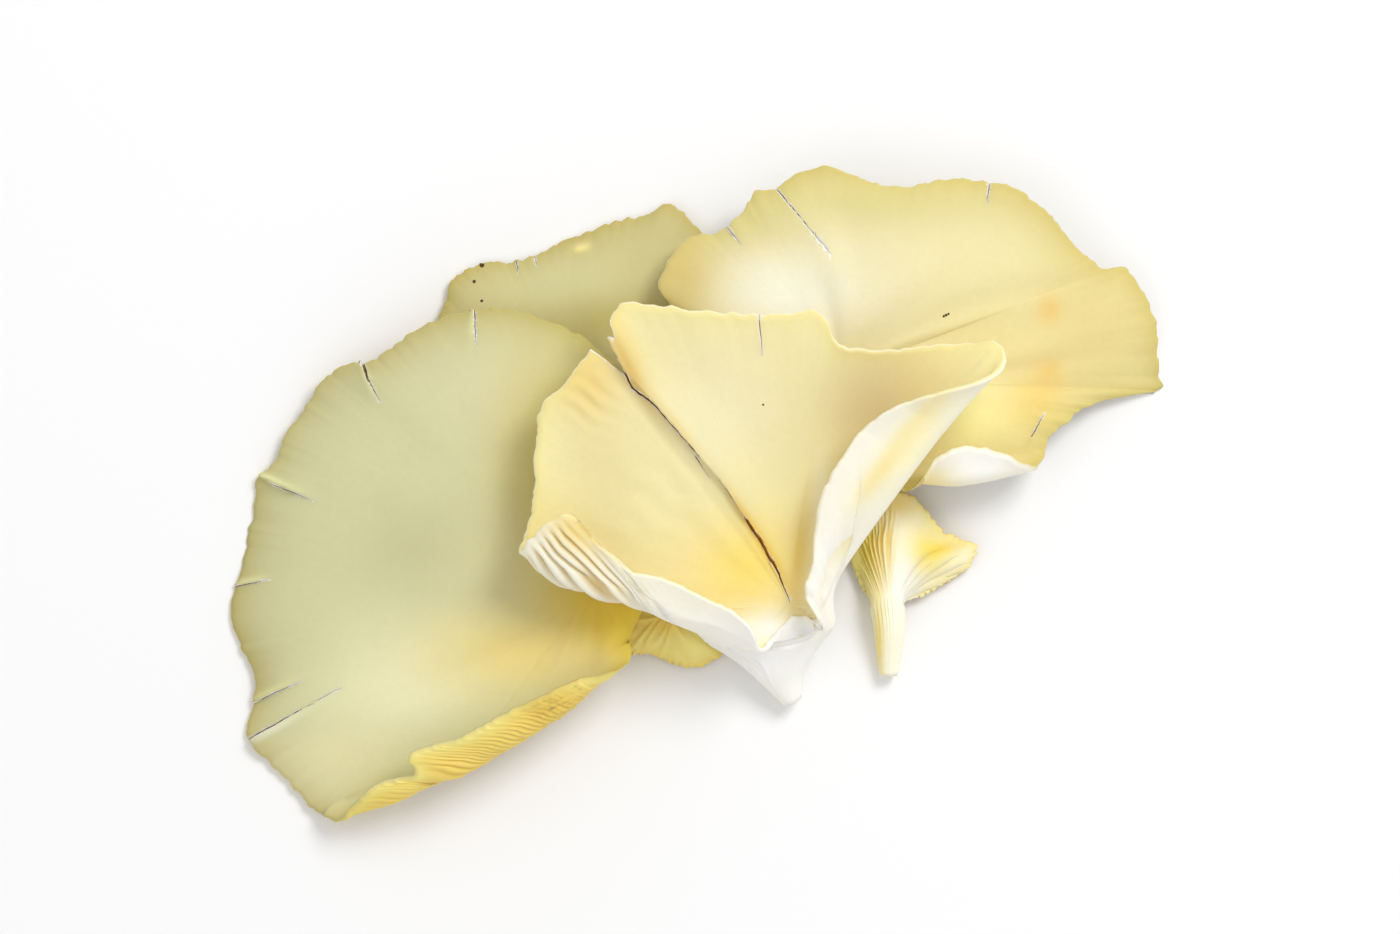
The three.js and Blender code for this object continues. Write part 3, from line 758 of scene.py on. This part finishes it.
def flesh_finish(name, specks=(), groove_shade_colour=(176, 160, 96)):
    finish = Finish(name, Roughness=0.62, Subsurface_Weight=0.22, Subsurface_Scale=0.004,
                    Subsurface_Radius=(1.0, 0.78, 0.4), Specular_IOR_Level=0.12)
    place = finish.node("ShaderNodeTexCoord")["Object"]
    fan, out = finish.value("fan"), finish.value("out")
    under, groove = finish.value("under"), finish.value("groove")
    tinted = finish.node("ShaderNodeAttribute", {"attribute_name": "tint"})["Color"]
    fibres = finish.noise(finish.vector(fan * 1.4, out * 2.2, 0.0), 1.0, 4.0, 0.6) - 0.5
    clouds = finish.noise(place, 90.0, 3.0, 0.55) - 0.5
    grains = finish.noise(place, 900.0, 2.0, 0.6) - 0.5
    tone = 1.0 + fibres * FIBRE + clouds * CLOUD + grains * GRAIN
    colour = finish.blend(1.0, tinted, finish.vector(tone, tone, tone), "MULTIPLY")
    # Painted shade: the grooves between gills are darkened towards a golden colour.
    deep = (groove * under * 0.75).clamp()
    colour = finish.blend(deep, colour, paint(groove_shade_colour))
    height = finish.node("ShaderNodeSeparateXYZ", {}, place)["Z"]
    for x, y, wide in specks:
        speck = finish.vector(x * MM, y * MM, height)
        away = finish.node("ShaderNodeVectorMath", {"operation": "DISTANCE"}, place, speck)["Value"]
        dot = (1.0 - away / (wide * MM)).clamp()
        colour = finish.blend((dot * 3.0).clamp(), colour, paint(SOIL))
    finish.feed("Base Color", colour)
    finish.bump(BUMP, 0.0005, fibres * 0.08 + clouds * 0.9 + grains * 0.3)
    return finish.material


TORN_BUMP = 0.8


def torn_finish(name, colour, deep):
    finish = Finish(name, Roughness=0.75, Subsurface_Weight=0.2, Subsurface_Scale=0.003,
                    Subsurface_Radius=(1.0, 0.7, 0.35), Specular_IOR_Level=0.05)
    place = finish.node("ShaderNodeTexCoord")["Object"]
    threads = finish.noise(place, 700.0, 5.0, 0.7)
    share = ((threads - 0.35) * 2.2).clamp()
    finish.feed("Base Color", finish.blend(share, paint(deep), paint(colour)))
    finish.bump(TORN_BUMP, 0.0006, threads)
    return finish.material


print("flesh finishes ready")

# %% [markdown]
# ## The left mushroom
# The biggest cap lies nearly flat. It is creamy grey-olive and more olive near its margin. Golden
# patches beside the front mushroom are its painted shadow, and pale ones low in the middle are a painted
# highlight. Its lower right margin is folded up and over, in two lobes, so that gills show as fine
# strokes, and a spongy patch where they broke. Six short tears mark its edge.

# %% Describe the left mushroom
margin_rows = [*np.linspace(0.02, 0.7, 16), *np.linspace(0.73, 1, 24)]
even_rows = [*np.linspace(0.02, 1, 52)]

left_fold = Fold((-59.2, -51.6), (-13.6, -26.4), 2, [120, 150, 156, 146, 152, 150, 156, 110], 5)
left_rim = [
    *left_fold.stations([
        (0.03, 6.6, 3.4), (0.11, 8.2, 3.5), (0.19, 7.4, 3.6), (0.232, 7, 3.6), (0.252, 10.4, 3.7),
        (0.3, 10.8, 3.7), (0.4, 10.2, 3.8), (0.55, 9.8, 4), (0.7, 9, 4.4), (0.85, 7.2, 5.2),
    ]),
    (-11.2, -28, 7), (-11, -24, 8), (-10.8, -20, 7.8), (-8, -12, 8.2), (-6, -2, 8), (-6.5, 8, 8.6),
    (-10.5, 18, 9.6), (-17, 25, 10.3), (-25, 29.5, 10.5), (-30, 30.9, 10.3), (-37, 31.2, 10),
    (-42, 29.7, 9.5), (-46, 28.5, 9), (-50, 26, 8), (-55.5, 22.2, 6.5), (-58.5, 22, 5.8), (-62, 20, 4.5),
    (-65, 16.5, 3.5), (-69, 10.5, 2.2), (-71.5, 5.5, 1.5), (-74.3, 2.4, 1), (-75.5, -5, 0.6),
    (-77.5, -14, 0.5), (-79, -19, 0.5), (-77.5, -25, 0.6), (-75, -31, 0.8), (-74.8, -35, 0.9),
    (-76.2, -40, 1), (-74.5, -43.5, 1), (-70, -48, 1), (-66, -52.5, 1.2), (-62, -55, 2),
]
left = dict(
    crown=(-16.5, -15.6, 9.2), crown_thickness=5, dish=2.4, dome=3.5, gills=190, seed=11,
    rows=margin_rows, folds=[left_fold], rim=left_rim, ripple=0.5,
    stem=[(-15, -14.8, 4.2, 4.6, 4.6), (-10.5, -12, 3.2, 3.7, 3.6), (-5.5, -9.3, 2.8, 3.2, 3.2)],
    ragged=(-22, -39.5, 7, 0.55), gill_depth=0.5,
    skin_colours=((212, 210, 164), (186, 172, 104), 4.2, [
        # Painted shadow of the front mushroom: the golden patches beside and under it. Painted highlight:
        # the pale ones low in the middle. Painted shade: the darker grey-olive one left of the middle.
        (-56, 2, 20, 22, (214, 212, 168), 0.5), (-48, -10, 10, 9, (196, 192, 146), 0.7),
        (-50, -33, 15, 10, (238, 234, 190), 0.85), (-36, 16, 12, 9, (222, 218, 176), 0.6),
        (-62, -45, 12, 8, (240, 232, 180), 0.8), (-30, -27, 14, 7, (238, 212, 122), 0.7),
        (-12, -19, 15, 8, (222, 188, 62), 1, -20), (-10, -23, 11, 5, (230, 200, 70), 0.85, -20),
        (-22, 10, 11, 14, (216, 196, 104), 0.7), (-12, -2, 8, 14, (238, 214, 100), 0.8),
        (-25, 0, 6, 8, (214, 198, 120), 0.8), (-72.5, 2.8, 4.5, 0.6, (242, 236, 172), 0.85, -23),
        (-76, -14.8, 3, 0.5, (232, 226, 170), 0.7, 11), (-72, -33.5, 4.5, 0.5, (230, 224, 160), 0.7, 26),
        (-71.5, -40, 6, 0.7, (244, 240, 204), 0.85, 29), (-55.3, 19.4, 0.5, 3.4, (232, 226, 166), 0.7, 20),
        (-37.7, 28.4, 0.5, 3.2, (230, 226, 170), 0.7, -4),
    ]),
    gill_colours=((246, 214, 112), (248, 230, 140), 2, [
        (-26, -35, 8, 4, (222, 178, 66), 0.6), (-60, -54, 8, 6, (234, 208, 100), 0.5),
    ]),
)
# A tear has stations of x, y, reach left, reach right, depth and rise, then its left and right lip.
left_tears = [
    ([(-37.4, 32.6, 0.16, 0.16, 0.9, 0.8), (-37, 24.8, 0, 0, 0.4, 0.6)], 0, 0.7),
    ([(-57, 23.6, 0.7, 0.2, 1.2, 0.8), (-55.6, 19.6, 0.16, 0.16, 0.8, 0.7),
      (-53.3, 15.3, 0, 0, 0.4, 0.6)], 0, 0.9),
    ([(-76.4, 3.7, 0.1, 0.3, 0.8, 0.9), (-64.8, -1.2, 0, 0, 0.4, 0.6)], 1.2, -0.2),
    ([(-79, -16, 0.16, 0.12, 0.7, 0.8), (-72.3, -14.7, 0, 0, 0.3, 0.6)], 0.5, 0),
    ([(-76.4, -36.4, 0.16, 0.12, 0.7, 0.9), (-66.8, -31.8, 0, 0, 0.3, 0.6)], 0.6, 0),
    ([(-77.4, -42.6, 0.22, 0.12, 0.8, 1), (-59.8, -32.8, 0, 0, 0.3, 0.6)], 0, 1),
]
print("left: margin places and tears", len(left["rim"]), len(left_tears))

# %% [markdown]
# ## The back mushroom
# A flat olive cap lies lowest at the back. Its margin is finely nicked, and a crumb lies on it.

# %% Describe the back mushroom
back = dict(
    crown=(-16, 7.4, 6.4), crown_thickness=4, dish=2, dome=1.2, gills=120, seed=23,
    rows=margin_rows, ripple=0.35,
    rim=[
        (-16, 1.5, 6), (-8, 3, 6.4), (0, 8, 6), (6, 16, 4.8), (9, 26, 3.4), (8, 35, 2.4), (4, 41, 2),
        (0.5, 45, 1.9), (-3, 48.3, 1.8), (-5.3, 49.1, 1.7), (-8, 47.5, 1.6), (-14, 46, 1.4),
        (-18, 44.5, 1.3), (-22, 43, 1.2), (-25, 41.5, 1.2), (-28, 40.2, 1.2), (-33, 39.2, 1.3),
        (-36, 39.3, 1.4), (-39, 37.6, 1.5), (-41.6, 35.5, 1.6), (-43, 31, 1.8), (-45.5, 26, 2.2),
        (-44, 19, 3), (-38, 12, 4), (-29, 6, 4.8), (-22, 2.5, 5.4),
    ],
    stem=[(-14.5, 6.6, 2.2, 3.2, 2), (-9, 4, 1.7, 2.6, 1.8), (-3, 1.4, 1.6, 2.3, 1.8)],
    skin_colours=((208, 200, 146), (188, 170, 96), 2.6, [
        # The dark olive patch just beyond the front mushroom's far margin is its painted shadow.
        (-22, 34, 14, 6, (212, 210, 160), 0.6), (-12, 29, 14, 5, (182, 166, 92), 0.8),
        (-6, 42, 8, 8, (206, 196, 138), 0.5), (-19.5, 41.6, 1.5, 0.9, (244, 226, 150), 0.9, 20),
    ]),
    lumps=[(-19.5, 41.6, 1.4, 0.8, 0.7, 20)],
    gill_colours=((230, 216, 150), (220, 200, 120), 2, []),
)
back_tears = [
    ([(-30.6, 40.6, 0.16, 0.16, 1, 0.7), (-30, 37.3, 0, 0, 0.4, 0.6)], 0.3, 0),
    ([(-27.5, 41.6, 0.16, 0.16, 1, 0.7), (-27, 38.4, 0, 0, 0.4, 0.6)], 0, 0.2),
]
print("back: margin places and tears", len(back["rim"]), len(back_tears))

# %% [markdown]
# ## The right mushroom
# A broad cream cap with a wavy margin, yellow near its edge. Its front margin is folded up, with a white
# gill side, and its right tip is a drooping lobe. Four fine tears run in from its margin.

# %% Describe the right mushroom
right_fold = Fold((35, 5.3), (57, 7.2), 0.8, [50, 130, 150, 145, 110], 6)
right = dict(
    crown=(24, 20, 10.6), crown_thickness=4.6, dish=2, dome=1.8, gills=170, seed=37,
    rows=margin_rows, folds=[right_fold], ripple=0.7, calm=True,
    rim=[
        *right_fold.stations([
            (-0.16, 2.6, 7.4), (0.04, 7, 6.8), (0.25, 10.4, 6.4), (0.5, 10.8, 6.4), (0.75, 9, 6.2),
            (0.92, 6.4, 6),
        ]),
        (58.6, 5.4, 6), (60, 9, 6.2), (62.5, 11.5, 5.9), (66, 14.4, 5), (70, 15.8, 3.8), (75, 16.8, 2.2),
        (79.2, 17.8, 0.8), (78.8, 20, 0.8), (78.6, 26, 1.6), (77, 32, 3), (75, 36, 4), (72.8, 38.5, 4.6),
        (71.2, 38.4, 4.8), (69.8, 38.1, 5), (68.8, 38.3, 5.4), (67, 39.5, 6.2), (64, 42.5, 7.4),
        (61, 46, 8.4), (57.5, 49.5, 9.4), (54, 52, 10.4), (50, 52.7, 11), (44, 53.2, 12), (40, 52.8, 12.4),
        (36, 51.7, 12.6), (31, 52.5, 12.2), (25, 54.3, 11.4), (22, 55.3, 11), (18, 54.3, 10.4),
        (13.5, 51.6, 9.8), (10, 51, 9.4), (8.5, 48.5, 9.4), (5.5, 45.3, 9.8), (3, 44, 10.2),
        (0, 43.5, 10.6), (-2.5, 41.8, 10.8), (-4.5, 38.8, 11), (-6.2, 35, 11.4), (-3.6, 31, 11.8),
        (-0.5, 25, 12), (5, 18.5, 12), (11.5, 12.8, 11.4), (18, 8, 10.4), (24.5, 4, 9.6),
    ],
    stem=[(23, 18.4, 4.4, 4.4, 4.4), (20, 13, 3.4, 3.7, 3.7), (17, 7, 3, 3.3, 3.3)],
    bare=right_fold.beyond,
    skin_colours=((234, 222, 166), (206, 188, 112), 4.2, [
        # The near-white patch in the middle is a painted highlight.
        (17, 34, 15, 8, (252, 250, 236), 0.9), (34, 40, 18, 7, (242, 234, 190), 0.5),
        (48, 13, 14, 5.5, (255, 244, 170), 0.9), (68, 27, 9, 11, (228, 208, 136), 0.7),
        (58, 16, 5, 6, (238, 190, 70), 0.5), (-2, 37, 6, 9, (210, 188, 110), 0.75),
        (8, 46, 9, 5, (214, 202, 134), 0.6), (30, 50, 16, 4, (218, 208, 140), 0.5),
        (60, 31, 2.2, 2.6, (240, 186, 84), 0.6), (60, 21, 2, 2, (238, 182, 76), 0.5),
        (52, 26, 10, 8, (244, 226, 158), 0.5),
    ]),
    gill_colours=((252, 240, 200), (253, 248, 232), 2, [
        (48, 4.5, 8, 4, (255, 254, 248), 0.9), (38, 2, 5, 3, (250, 224, 130), 0.7),
    ]),
)
right_tears = [
    ([(3.6, 47.2, 0.15, 0.15, 1.2, 0.8), (8, 42, 0, 0, 0.5, 0.6)], 0.5, 0),
    ([(12.8, 52.6, 0.12, 0.12, 1, 0.8), (23, 40.5, 0, 0, 0.3, 0.6)], 0, 0.4),
    ([(50.1, 53.6, 0.15, 0.15, 1.2, 0.8), (49.5, 49, 0, 0, 0.4, 0.6)], 0.3, 0),
    ([(57, 9.6, 0.34, 0.34, 0.5, 0.8), (59.4, 14, 0.05, 0.05, 0.2, 0.6)], 0, 0.5, 0),
]
print("right: margin places and tears", len(right["rim"]), len(right_tears))

# %% [markdown]
# ## The front mushroom
# The fan on top is a funnel. It is torn from its far margin down to its neck, and both side margins are
# rolled in. The left roll shows coarse gills and is smooth near the white stem. The right one is smooth
# all along. The stem ends in a point.

# %% Describe the front mushroom
front_right_fold = Fold((20, -18), (49, 22.6), -3.5, [155, 155, 152, 150, 150, 140, 115, 80], 5)
front_left_fold = Fold((-27.4, -7.6), (10.6, -23.35), 0.2, [150, 150, 150, 150, 145, 140, 130], 8)
tear_line = [(-17.4, 31), (-11.9, 20.4), (-6.8, 15), (0.6, 6.4), (5, 1.2), (11.1, -8.4), (16, -18.4)]


def front_bare(points):
    """Both rolls lose their gills, the left one only near the stem."""
    near_stem = smooth((front_left_fold.place(points)[0] - 0.3) / 0.3)
    return np.maximum(front_right_fold.beyond(points), front_left_fold.beyond(points) * near_stem)


front = dict(
    crown=(15.8, -18.2, 12.8), crown_thickness=6, dish=1.25, dome=0, gills=150, seed=53,
    rows=even_rows, folds=[front_right_fold, front_left_fold], ripple=0.5, stem_ridges=0.5,
    rim=[
        (16.4, -21.2, 12.4), (19.2, -21, 12.2), (22.6, -22.6, 12.2),
        *front_right_fold.stations([
            (0, 8.8, 12.6), (0.08, 9.6, 13.2), (0.16, 11.4, 14), (0.28, 14, 15.6), (0.43, 15, 17.2),
            (0.61, 14.5, 19.4), (0.77, 11.8, 21.4), (0.91, 7.4, 23),
        ]),
        (51.7, 23.8, 23.8), (50, 25.6, 24), (46, 25.1, 23.6), (40, 24.6, 23.2), (35, 24, 23),
        (30, 23.6, 23), (26, 24, 23.4), (23.4, 25.6, 24), (22.2, 28.6, 24.8), (20.6, 30.2, 25),
        (15, 30.1, 25.2), (10, 29.9, 25.4), (5, 30.1, 25.4), (0, 30.4, 25.4), (-5, 31.3, 25.2),
        (-10, 31.7, 25), (-12.6, 31.3, 24.8), (-14.4, 29, 24.4), (-16.6, 24.5, 22.4), (-18.2, 23, 22.4),
        (-21, 19, 22.4), (-24, 16.3, 22.3), (-25.8, 14.5, 22.2), (-26.4, 8, 21.8), (-26.9, 0, 21.4),
        (-27.6, -4.5, 21),
        *front_left_fold.stations([
            (0, 7.4, 20.4), (0.11, 14.4, 19.6), (0.24, 11.7, 18.4), (0.36, 10.3, 17.6), (0.44, 9, 17),
            (0.55, 10.2, 16.2), (0.67, 10.4, 15.2), (0.8, 10, 14.2), (0.9, 9.6, 13.4), (0.97, 8.2, 12.8),
        ]),
        (9.4, -28.2, 12.4), (12.6, -24.8, 12.2), (14.8, -22.4, 12.2),
    ],
    stem=[(11.9, -22, 8.2, 12.2, 4.8), (14, -26.4, 5.4, 7.8, 4.3), (14.7, -31, 3.8, 3.9, 3.3),
          (16.6, -35, 2.2, 1.7, 2.2)],
    bare=front_bare,
    gill_depth=1.5, ledges=[(tear_line, 1.2, -0.2)],
    wrinkles=[(-17.5, 16, 4, -30, 2.8, 0.26), (-6, -1, 7, -35, 5, 0.12)],
    skin_colours=((242, 230, 174), (242, 226, 156), 1.4, [
        # The tan patches inside the right roll are painted shade that the roll throws on the funnel.
        (9, -12, 9, 8, (250, 222, 112), 0.85), (-10.4, 22.4, 9, 1.9, (240, 212, 132), 0.85, -66),
        (-11, 21, 8, 0.9, (222, 176, 76), 0.85, -62), (-2.4, 11, 6, 0.8, (232, 192, 90), 0.8, -50),
        (10.6, -7.2, 10, 0.9, (238, 190, 64), 0.85, -58), (17.6, -12, 8, 1.4, (240, 206, 96), 0.7, 84),
        (-15, 4, 9, 14, (226, 212, 154), 0.6), (30, 14, 9, 10, (208, 188, 136), 0.75),
        (4, 14, 12, 12, (246, 238, 198), 0.6), (-18, 19, 5, 6, (236, 200, 110), 0.6),
        (36, 21, 8, 5, (226, 206, 148), 0.4), (24, -17, 4.6, 7, (254, 252, 240), 1),
        (12, -23, 7, 3.2, (254, 252, 240), 1), (21.5, -6, 1.6, 9, (254, 250, 232), 0.8),
    ]),
    gill_colours=((254, 250, 232), (253, 248, 226), 2, [
        (-19, -6, 8, 4, (246, 214, 120), 0.8, -25), (36, 8, 13, 3.4, (254, 238, 176), 0.7, 50),
        (31, 3.6, 6, 1.4, (250, 222, 136), 0.6, 52), (38, 13, 8, 1.6, (252, 232, 160), 0.6, 48),
        (45.5, 21.5, 5, 1.8, (250, 208, 100), 0.8, 32), (12, -28, 12, 10, (255, 254, 250), 0.9),
        (23, -12, 3, 7, (255, 253, 244), 0.9),
    ]),
)
far_gap = [(-17.4, 31, 2.5, 6.4, 9, 3), (-13.8, 24, 0.8, 2.1, 7, 1), (-11.9, 20.4, 0.2, 0.25, 5, 1)]
upper_tear = [
    (-11.9, 20.4, 0.12, 0.25, 1.8, 0.8), (-10.6, 17.8, 0.15, 0.28, 1.6, 0.8),
    (-6.8, 15, 0.18, 0.28, 1.5, 0.8), (-3.2, 10.9, 0.3, 0.25, 1.4, 0.8), (0.6, 6.4, 0.12, 0.12, 0.7, 0.8),
]
side_tear = [(0.2, 6.4, 0.05, 0.16, 0.7, 0.8), (2.7, 2.5, 0, 0, 0.4, 0.8)]
lower_tear = [
    (2.6, 5, 0, 0, 0.4, 0.8), (5, 1.2, 0.25, 0.15, 0.9, 0.8), (8, -3.3, 0.4, 0.2, 1.1, 0.8),
    (11.1, -8.4, 0.5, 0.25, 1.2, 0.8), (13.6, -12.5, 0.35, 0.2, 1, 0.8), (16, -18.4, 0.03, 0.03, 0.6, 0.6),
]
margin_tear = [(10.8, 30.8, 0.14, 0.14, 1, 0.8), (11.2, 23.2, 0, 0, 0.4, 0.5)]
front_tears = [
    (far_gap, 0, 0, 0.9), (upper_tear, 0, 0), (side_tear, 0, 0), (lower_tear, 0, 0), (margin_tear, 0, 0.3),
]
print("front: margin places and tears", len(front["rim"]), len(front_tears))

# %% [markdown]
# ## The low and the small mushroom
# A golden lobe of a small cap shows below the front stem. To the right of the stem lies another small
# mushroom with its gills up, golden on its left side and cream on its right, on a thin stem.

# %% Describe the two little ones
few_rows = [*np.linspace(0.03, 1, 22)]
low = dict(
    crown=(-4, -19.6, 4.2), crown_thickness=3, dish=2.2, dome=0.6, gills=60, seed=61,
    rows=few_rows, ripple=0.25,
    rim=[
        (2.4, -20, 1.5), (1, -17.4, 3), (-1.6, -15.2, 4.8), (-6, -16, 4.6), (-9.6, -19.6, 4),
        (-11.7, -24, 3.4), (-11.3, -27, 2.6), (-8, -27.3, 1.9), (-5, -28.4, 1.6), (-2, -29.4, 1.5),
        (1, -29.4, 1.5), (3.6, -28.2, 1.5), (5.4, -26.4, 1.3), (4.2, -23.4, 1.2),
    ],
    stem=[(-3, -18.4, 1.5, 2, 1.4), (-1.2, -15.4, 1.2, 1.7, 1.2), (0.4, -12.4, 1.2, 1.5, 1.2)],
    skin_colours=((255, 240, 150), (248, 216, 116), 1.4, [(-6, -22, 6, 2.4, (254, 214, 100), 0.6)]),
    gill_colours=((248, 220, 120), (234, 196, 96), 1.6, []),
)


def turn_over(stations):
    return [(-x, y, -z, *rest) for x, y, z, *rest in stations]


small = dict(
    crown=turn_over([(32.4, -16, 3)])[0], crown_thickness=4, dish=1.6, dome=0,
    gills=64, seed=71, rows=few_rows, ripple=0.15, stem_ridges=0.3,
    rim=turn_over([
        (35.2, -17.8, 2), (38.4, -17, 1.4), (41.5, -15.4, 1), (44.5, -13.4, 1), (47.3, -10.6, 1.2),
        (47.6, -8.8, 1.6), (44.5, -7.7, 2), (42, -6.5, 2.2), (40, -4.2, 2.6), (38, -1.6, 3.2),
        (35.6, 0, 3.8), (33, 0.4, 4.4), (31, -1.3, 4), (28.8, -4.4, 2.6), (26.6, -7, 1), (26.8, -10, 1),
        (28.2, -14, 1.2), (30.2, -17, 1.6), (32.6, -17.8, 2),
    ])[::-1],
    stem=turn_over([(32.6, -19, 4.4, 2.8, 2.4), (33, -22.5, 3.6, 2.6, 2.4), (33, -27, 2.6, 2.1, 2),
                    (32.9, -30.8, 1.9, 1.5, 1.5)]),
    bare=lambda points: smooth((-32.6 - points[..., 0]) / 1.6), gill_depth=0.8,
    skin_colours=((250, 236, 180), (244, 206, 108), 1.6, []),
    gill_colours=((254, 248, 222), (250, 232, 158), 1, [
        (-29, -9, 3.2, 9, (255, 234, 116), 0.95), (-41, -9.6, 4.4, 1.4, (246, 204, 84), 0.9, -12),
        (-38.5, -10, 5, 5, (248, 222, 92), 0.9), (-31.2, -25, 0.9, 9, (246, 220, 110), 0.8),
        (-34.6, -2, 3, 2.4, (250, 214, 110), 0.8), (-35, -14, 3, 7, (255, 253, 244), 0.8),
    ]),
)
print("low and small: margin places", len(low["rim"]), len(small["rim"]))

# %% [markdown]
# ## Put the cluster together
# Each mushroom is grown, cut and given its finish. It rides on the one body of the part and stands for
# its imported solid.

# %% Grow and place all six
golden, olive = (248, 214, 108), (214, 190, 108)
torn_golden = torn_finish("torn_flesh", golden, deep=(210, 158, 54))
torn_olive = torn_finish("torn_skin", olive, deep=(150, 118, 48))
cluster = [
    ("left", left, left_tears, {"specks": [(-76.6, -43.2, 0.4)], "groove_shade_colour": (232, 198, 92)}),
    ("back", back, back_tears, {"specks": [(-36.2, 38.8, 0.5), (-37.5, 36, 0.35), (-36.2, 32.7, 0.3)]}),
    ("right", right, right_tears, {"specks": [(42.1, 30, 0.26), (42.5, 30.2, 0.28), (42.9, 30.4, 0.24)]}),
    ("front", front, front_tears, {"specks": [(11.5, 15, 0.22)], "groove_shade_colour": (216, 184, 92)}),
    ("low", low, [], {}),
    ("small", small, [], {"groove_shade_colour": (240, 204, 86)}),
]
for name, spec, tears, looks in cluster:
    turned = name == "small"
    cap, points, foot, values, colour = grow(spec, tears)
    piece = mesh_from("flesh_" + name, points, cap.crown, foot, values, colour, turned)
    piece.data.materials.append(flesh_finish("flesh_of_" + name, **looks))
    if tears:
        wedges = [tear_wedge("tear_%s_%d" % (name, k), tear[0], cap.height_on, 90 + k, *tear[3:])
                  for k, tear in enumerate(tears)]
        cut(piece, wedges, *((torn_golden, golden) if name == "front" else (torn_olive, olive)))
    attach(piece, "root")
    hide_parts("mushroom_" + name)
    name + "_flesh"
    print("mushroom", name, "is placed")

# %% [markdown]
# ## The table and the light
# The cluster lies on a plain white table. A soft light stands high at the back right, a bigger and weaker
# one at the front left, and a bright white surround fills the shadows.

# %% Set the table and the light
bpy.ops.mesh.primitive_plane_add(size=4)
table = bpy.context.object
table.name = "table_top"
table_finish = Finish("white_table", Base_Color=(0.93, 0.93, 0.935, 1), Roughness=0.6)
table.data.materials.append(table_finish.material)

world = bpy.data.worlds.new("studio")
bpy.context.scene.world = world
world.use_nodes = True
world.node_tree.nodes["Background"].inputs["Color"].default_value = (1, 1, 1, 1)
world.node_tree.nodes["Background"].inputs["Strength"].default_value = 0.68


def soft_light(name, place, size, power):
    """A square light that looks at the middle of the cluster."""
    data = bpy.data.lights.new(name, "AREA")
    data.shape, data.size, data.energy = "SQUARE", size, power
    lamp = placed(name, data)
    lamp.location = place
    lamp.rotation_euler = (-lamp.location).to_track_quat("-Z", "Y").to_euler()


soft_light("window", (0.55, 0.6, 1.0), 0.5, 7.8)
soft_light("fill", (-0.9, -0.5, 1.2), 1.2, 2.0)
print("two soft lights stand over the table")

# %% [markdown]
# ## The camera
# A long lens far above gives nearly no perspective. One millimetre of the table is the same length all
# over the picture, whose long side shows 238 millimetres.

# %% Look straight down
PICTURE_WIDTH, CAMERA_HEIGHT, SENSOR_WIDTH = 0.238, 2.4, 36
camera_data = bpy.data.cameras.new("camera")
camera_data.sensor_width = SENSOR_WIDTH
camera_data.lens = SENSOR_WIDTH * CAMERA_HEIGHT / PICTURE_WIDTH
camera_data.clip_end = 50
camera = placed("camera", camera_data)
camera.location = (0.00085, 0.0045, CAMERA_HEIGHT)
bpy.context.scene.camera = camera
bpy.context.scene.view_settings.view_transform = "Standard"
print("lens", round(camera_data.lens), "mm")
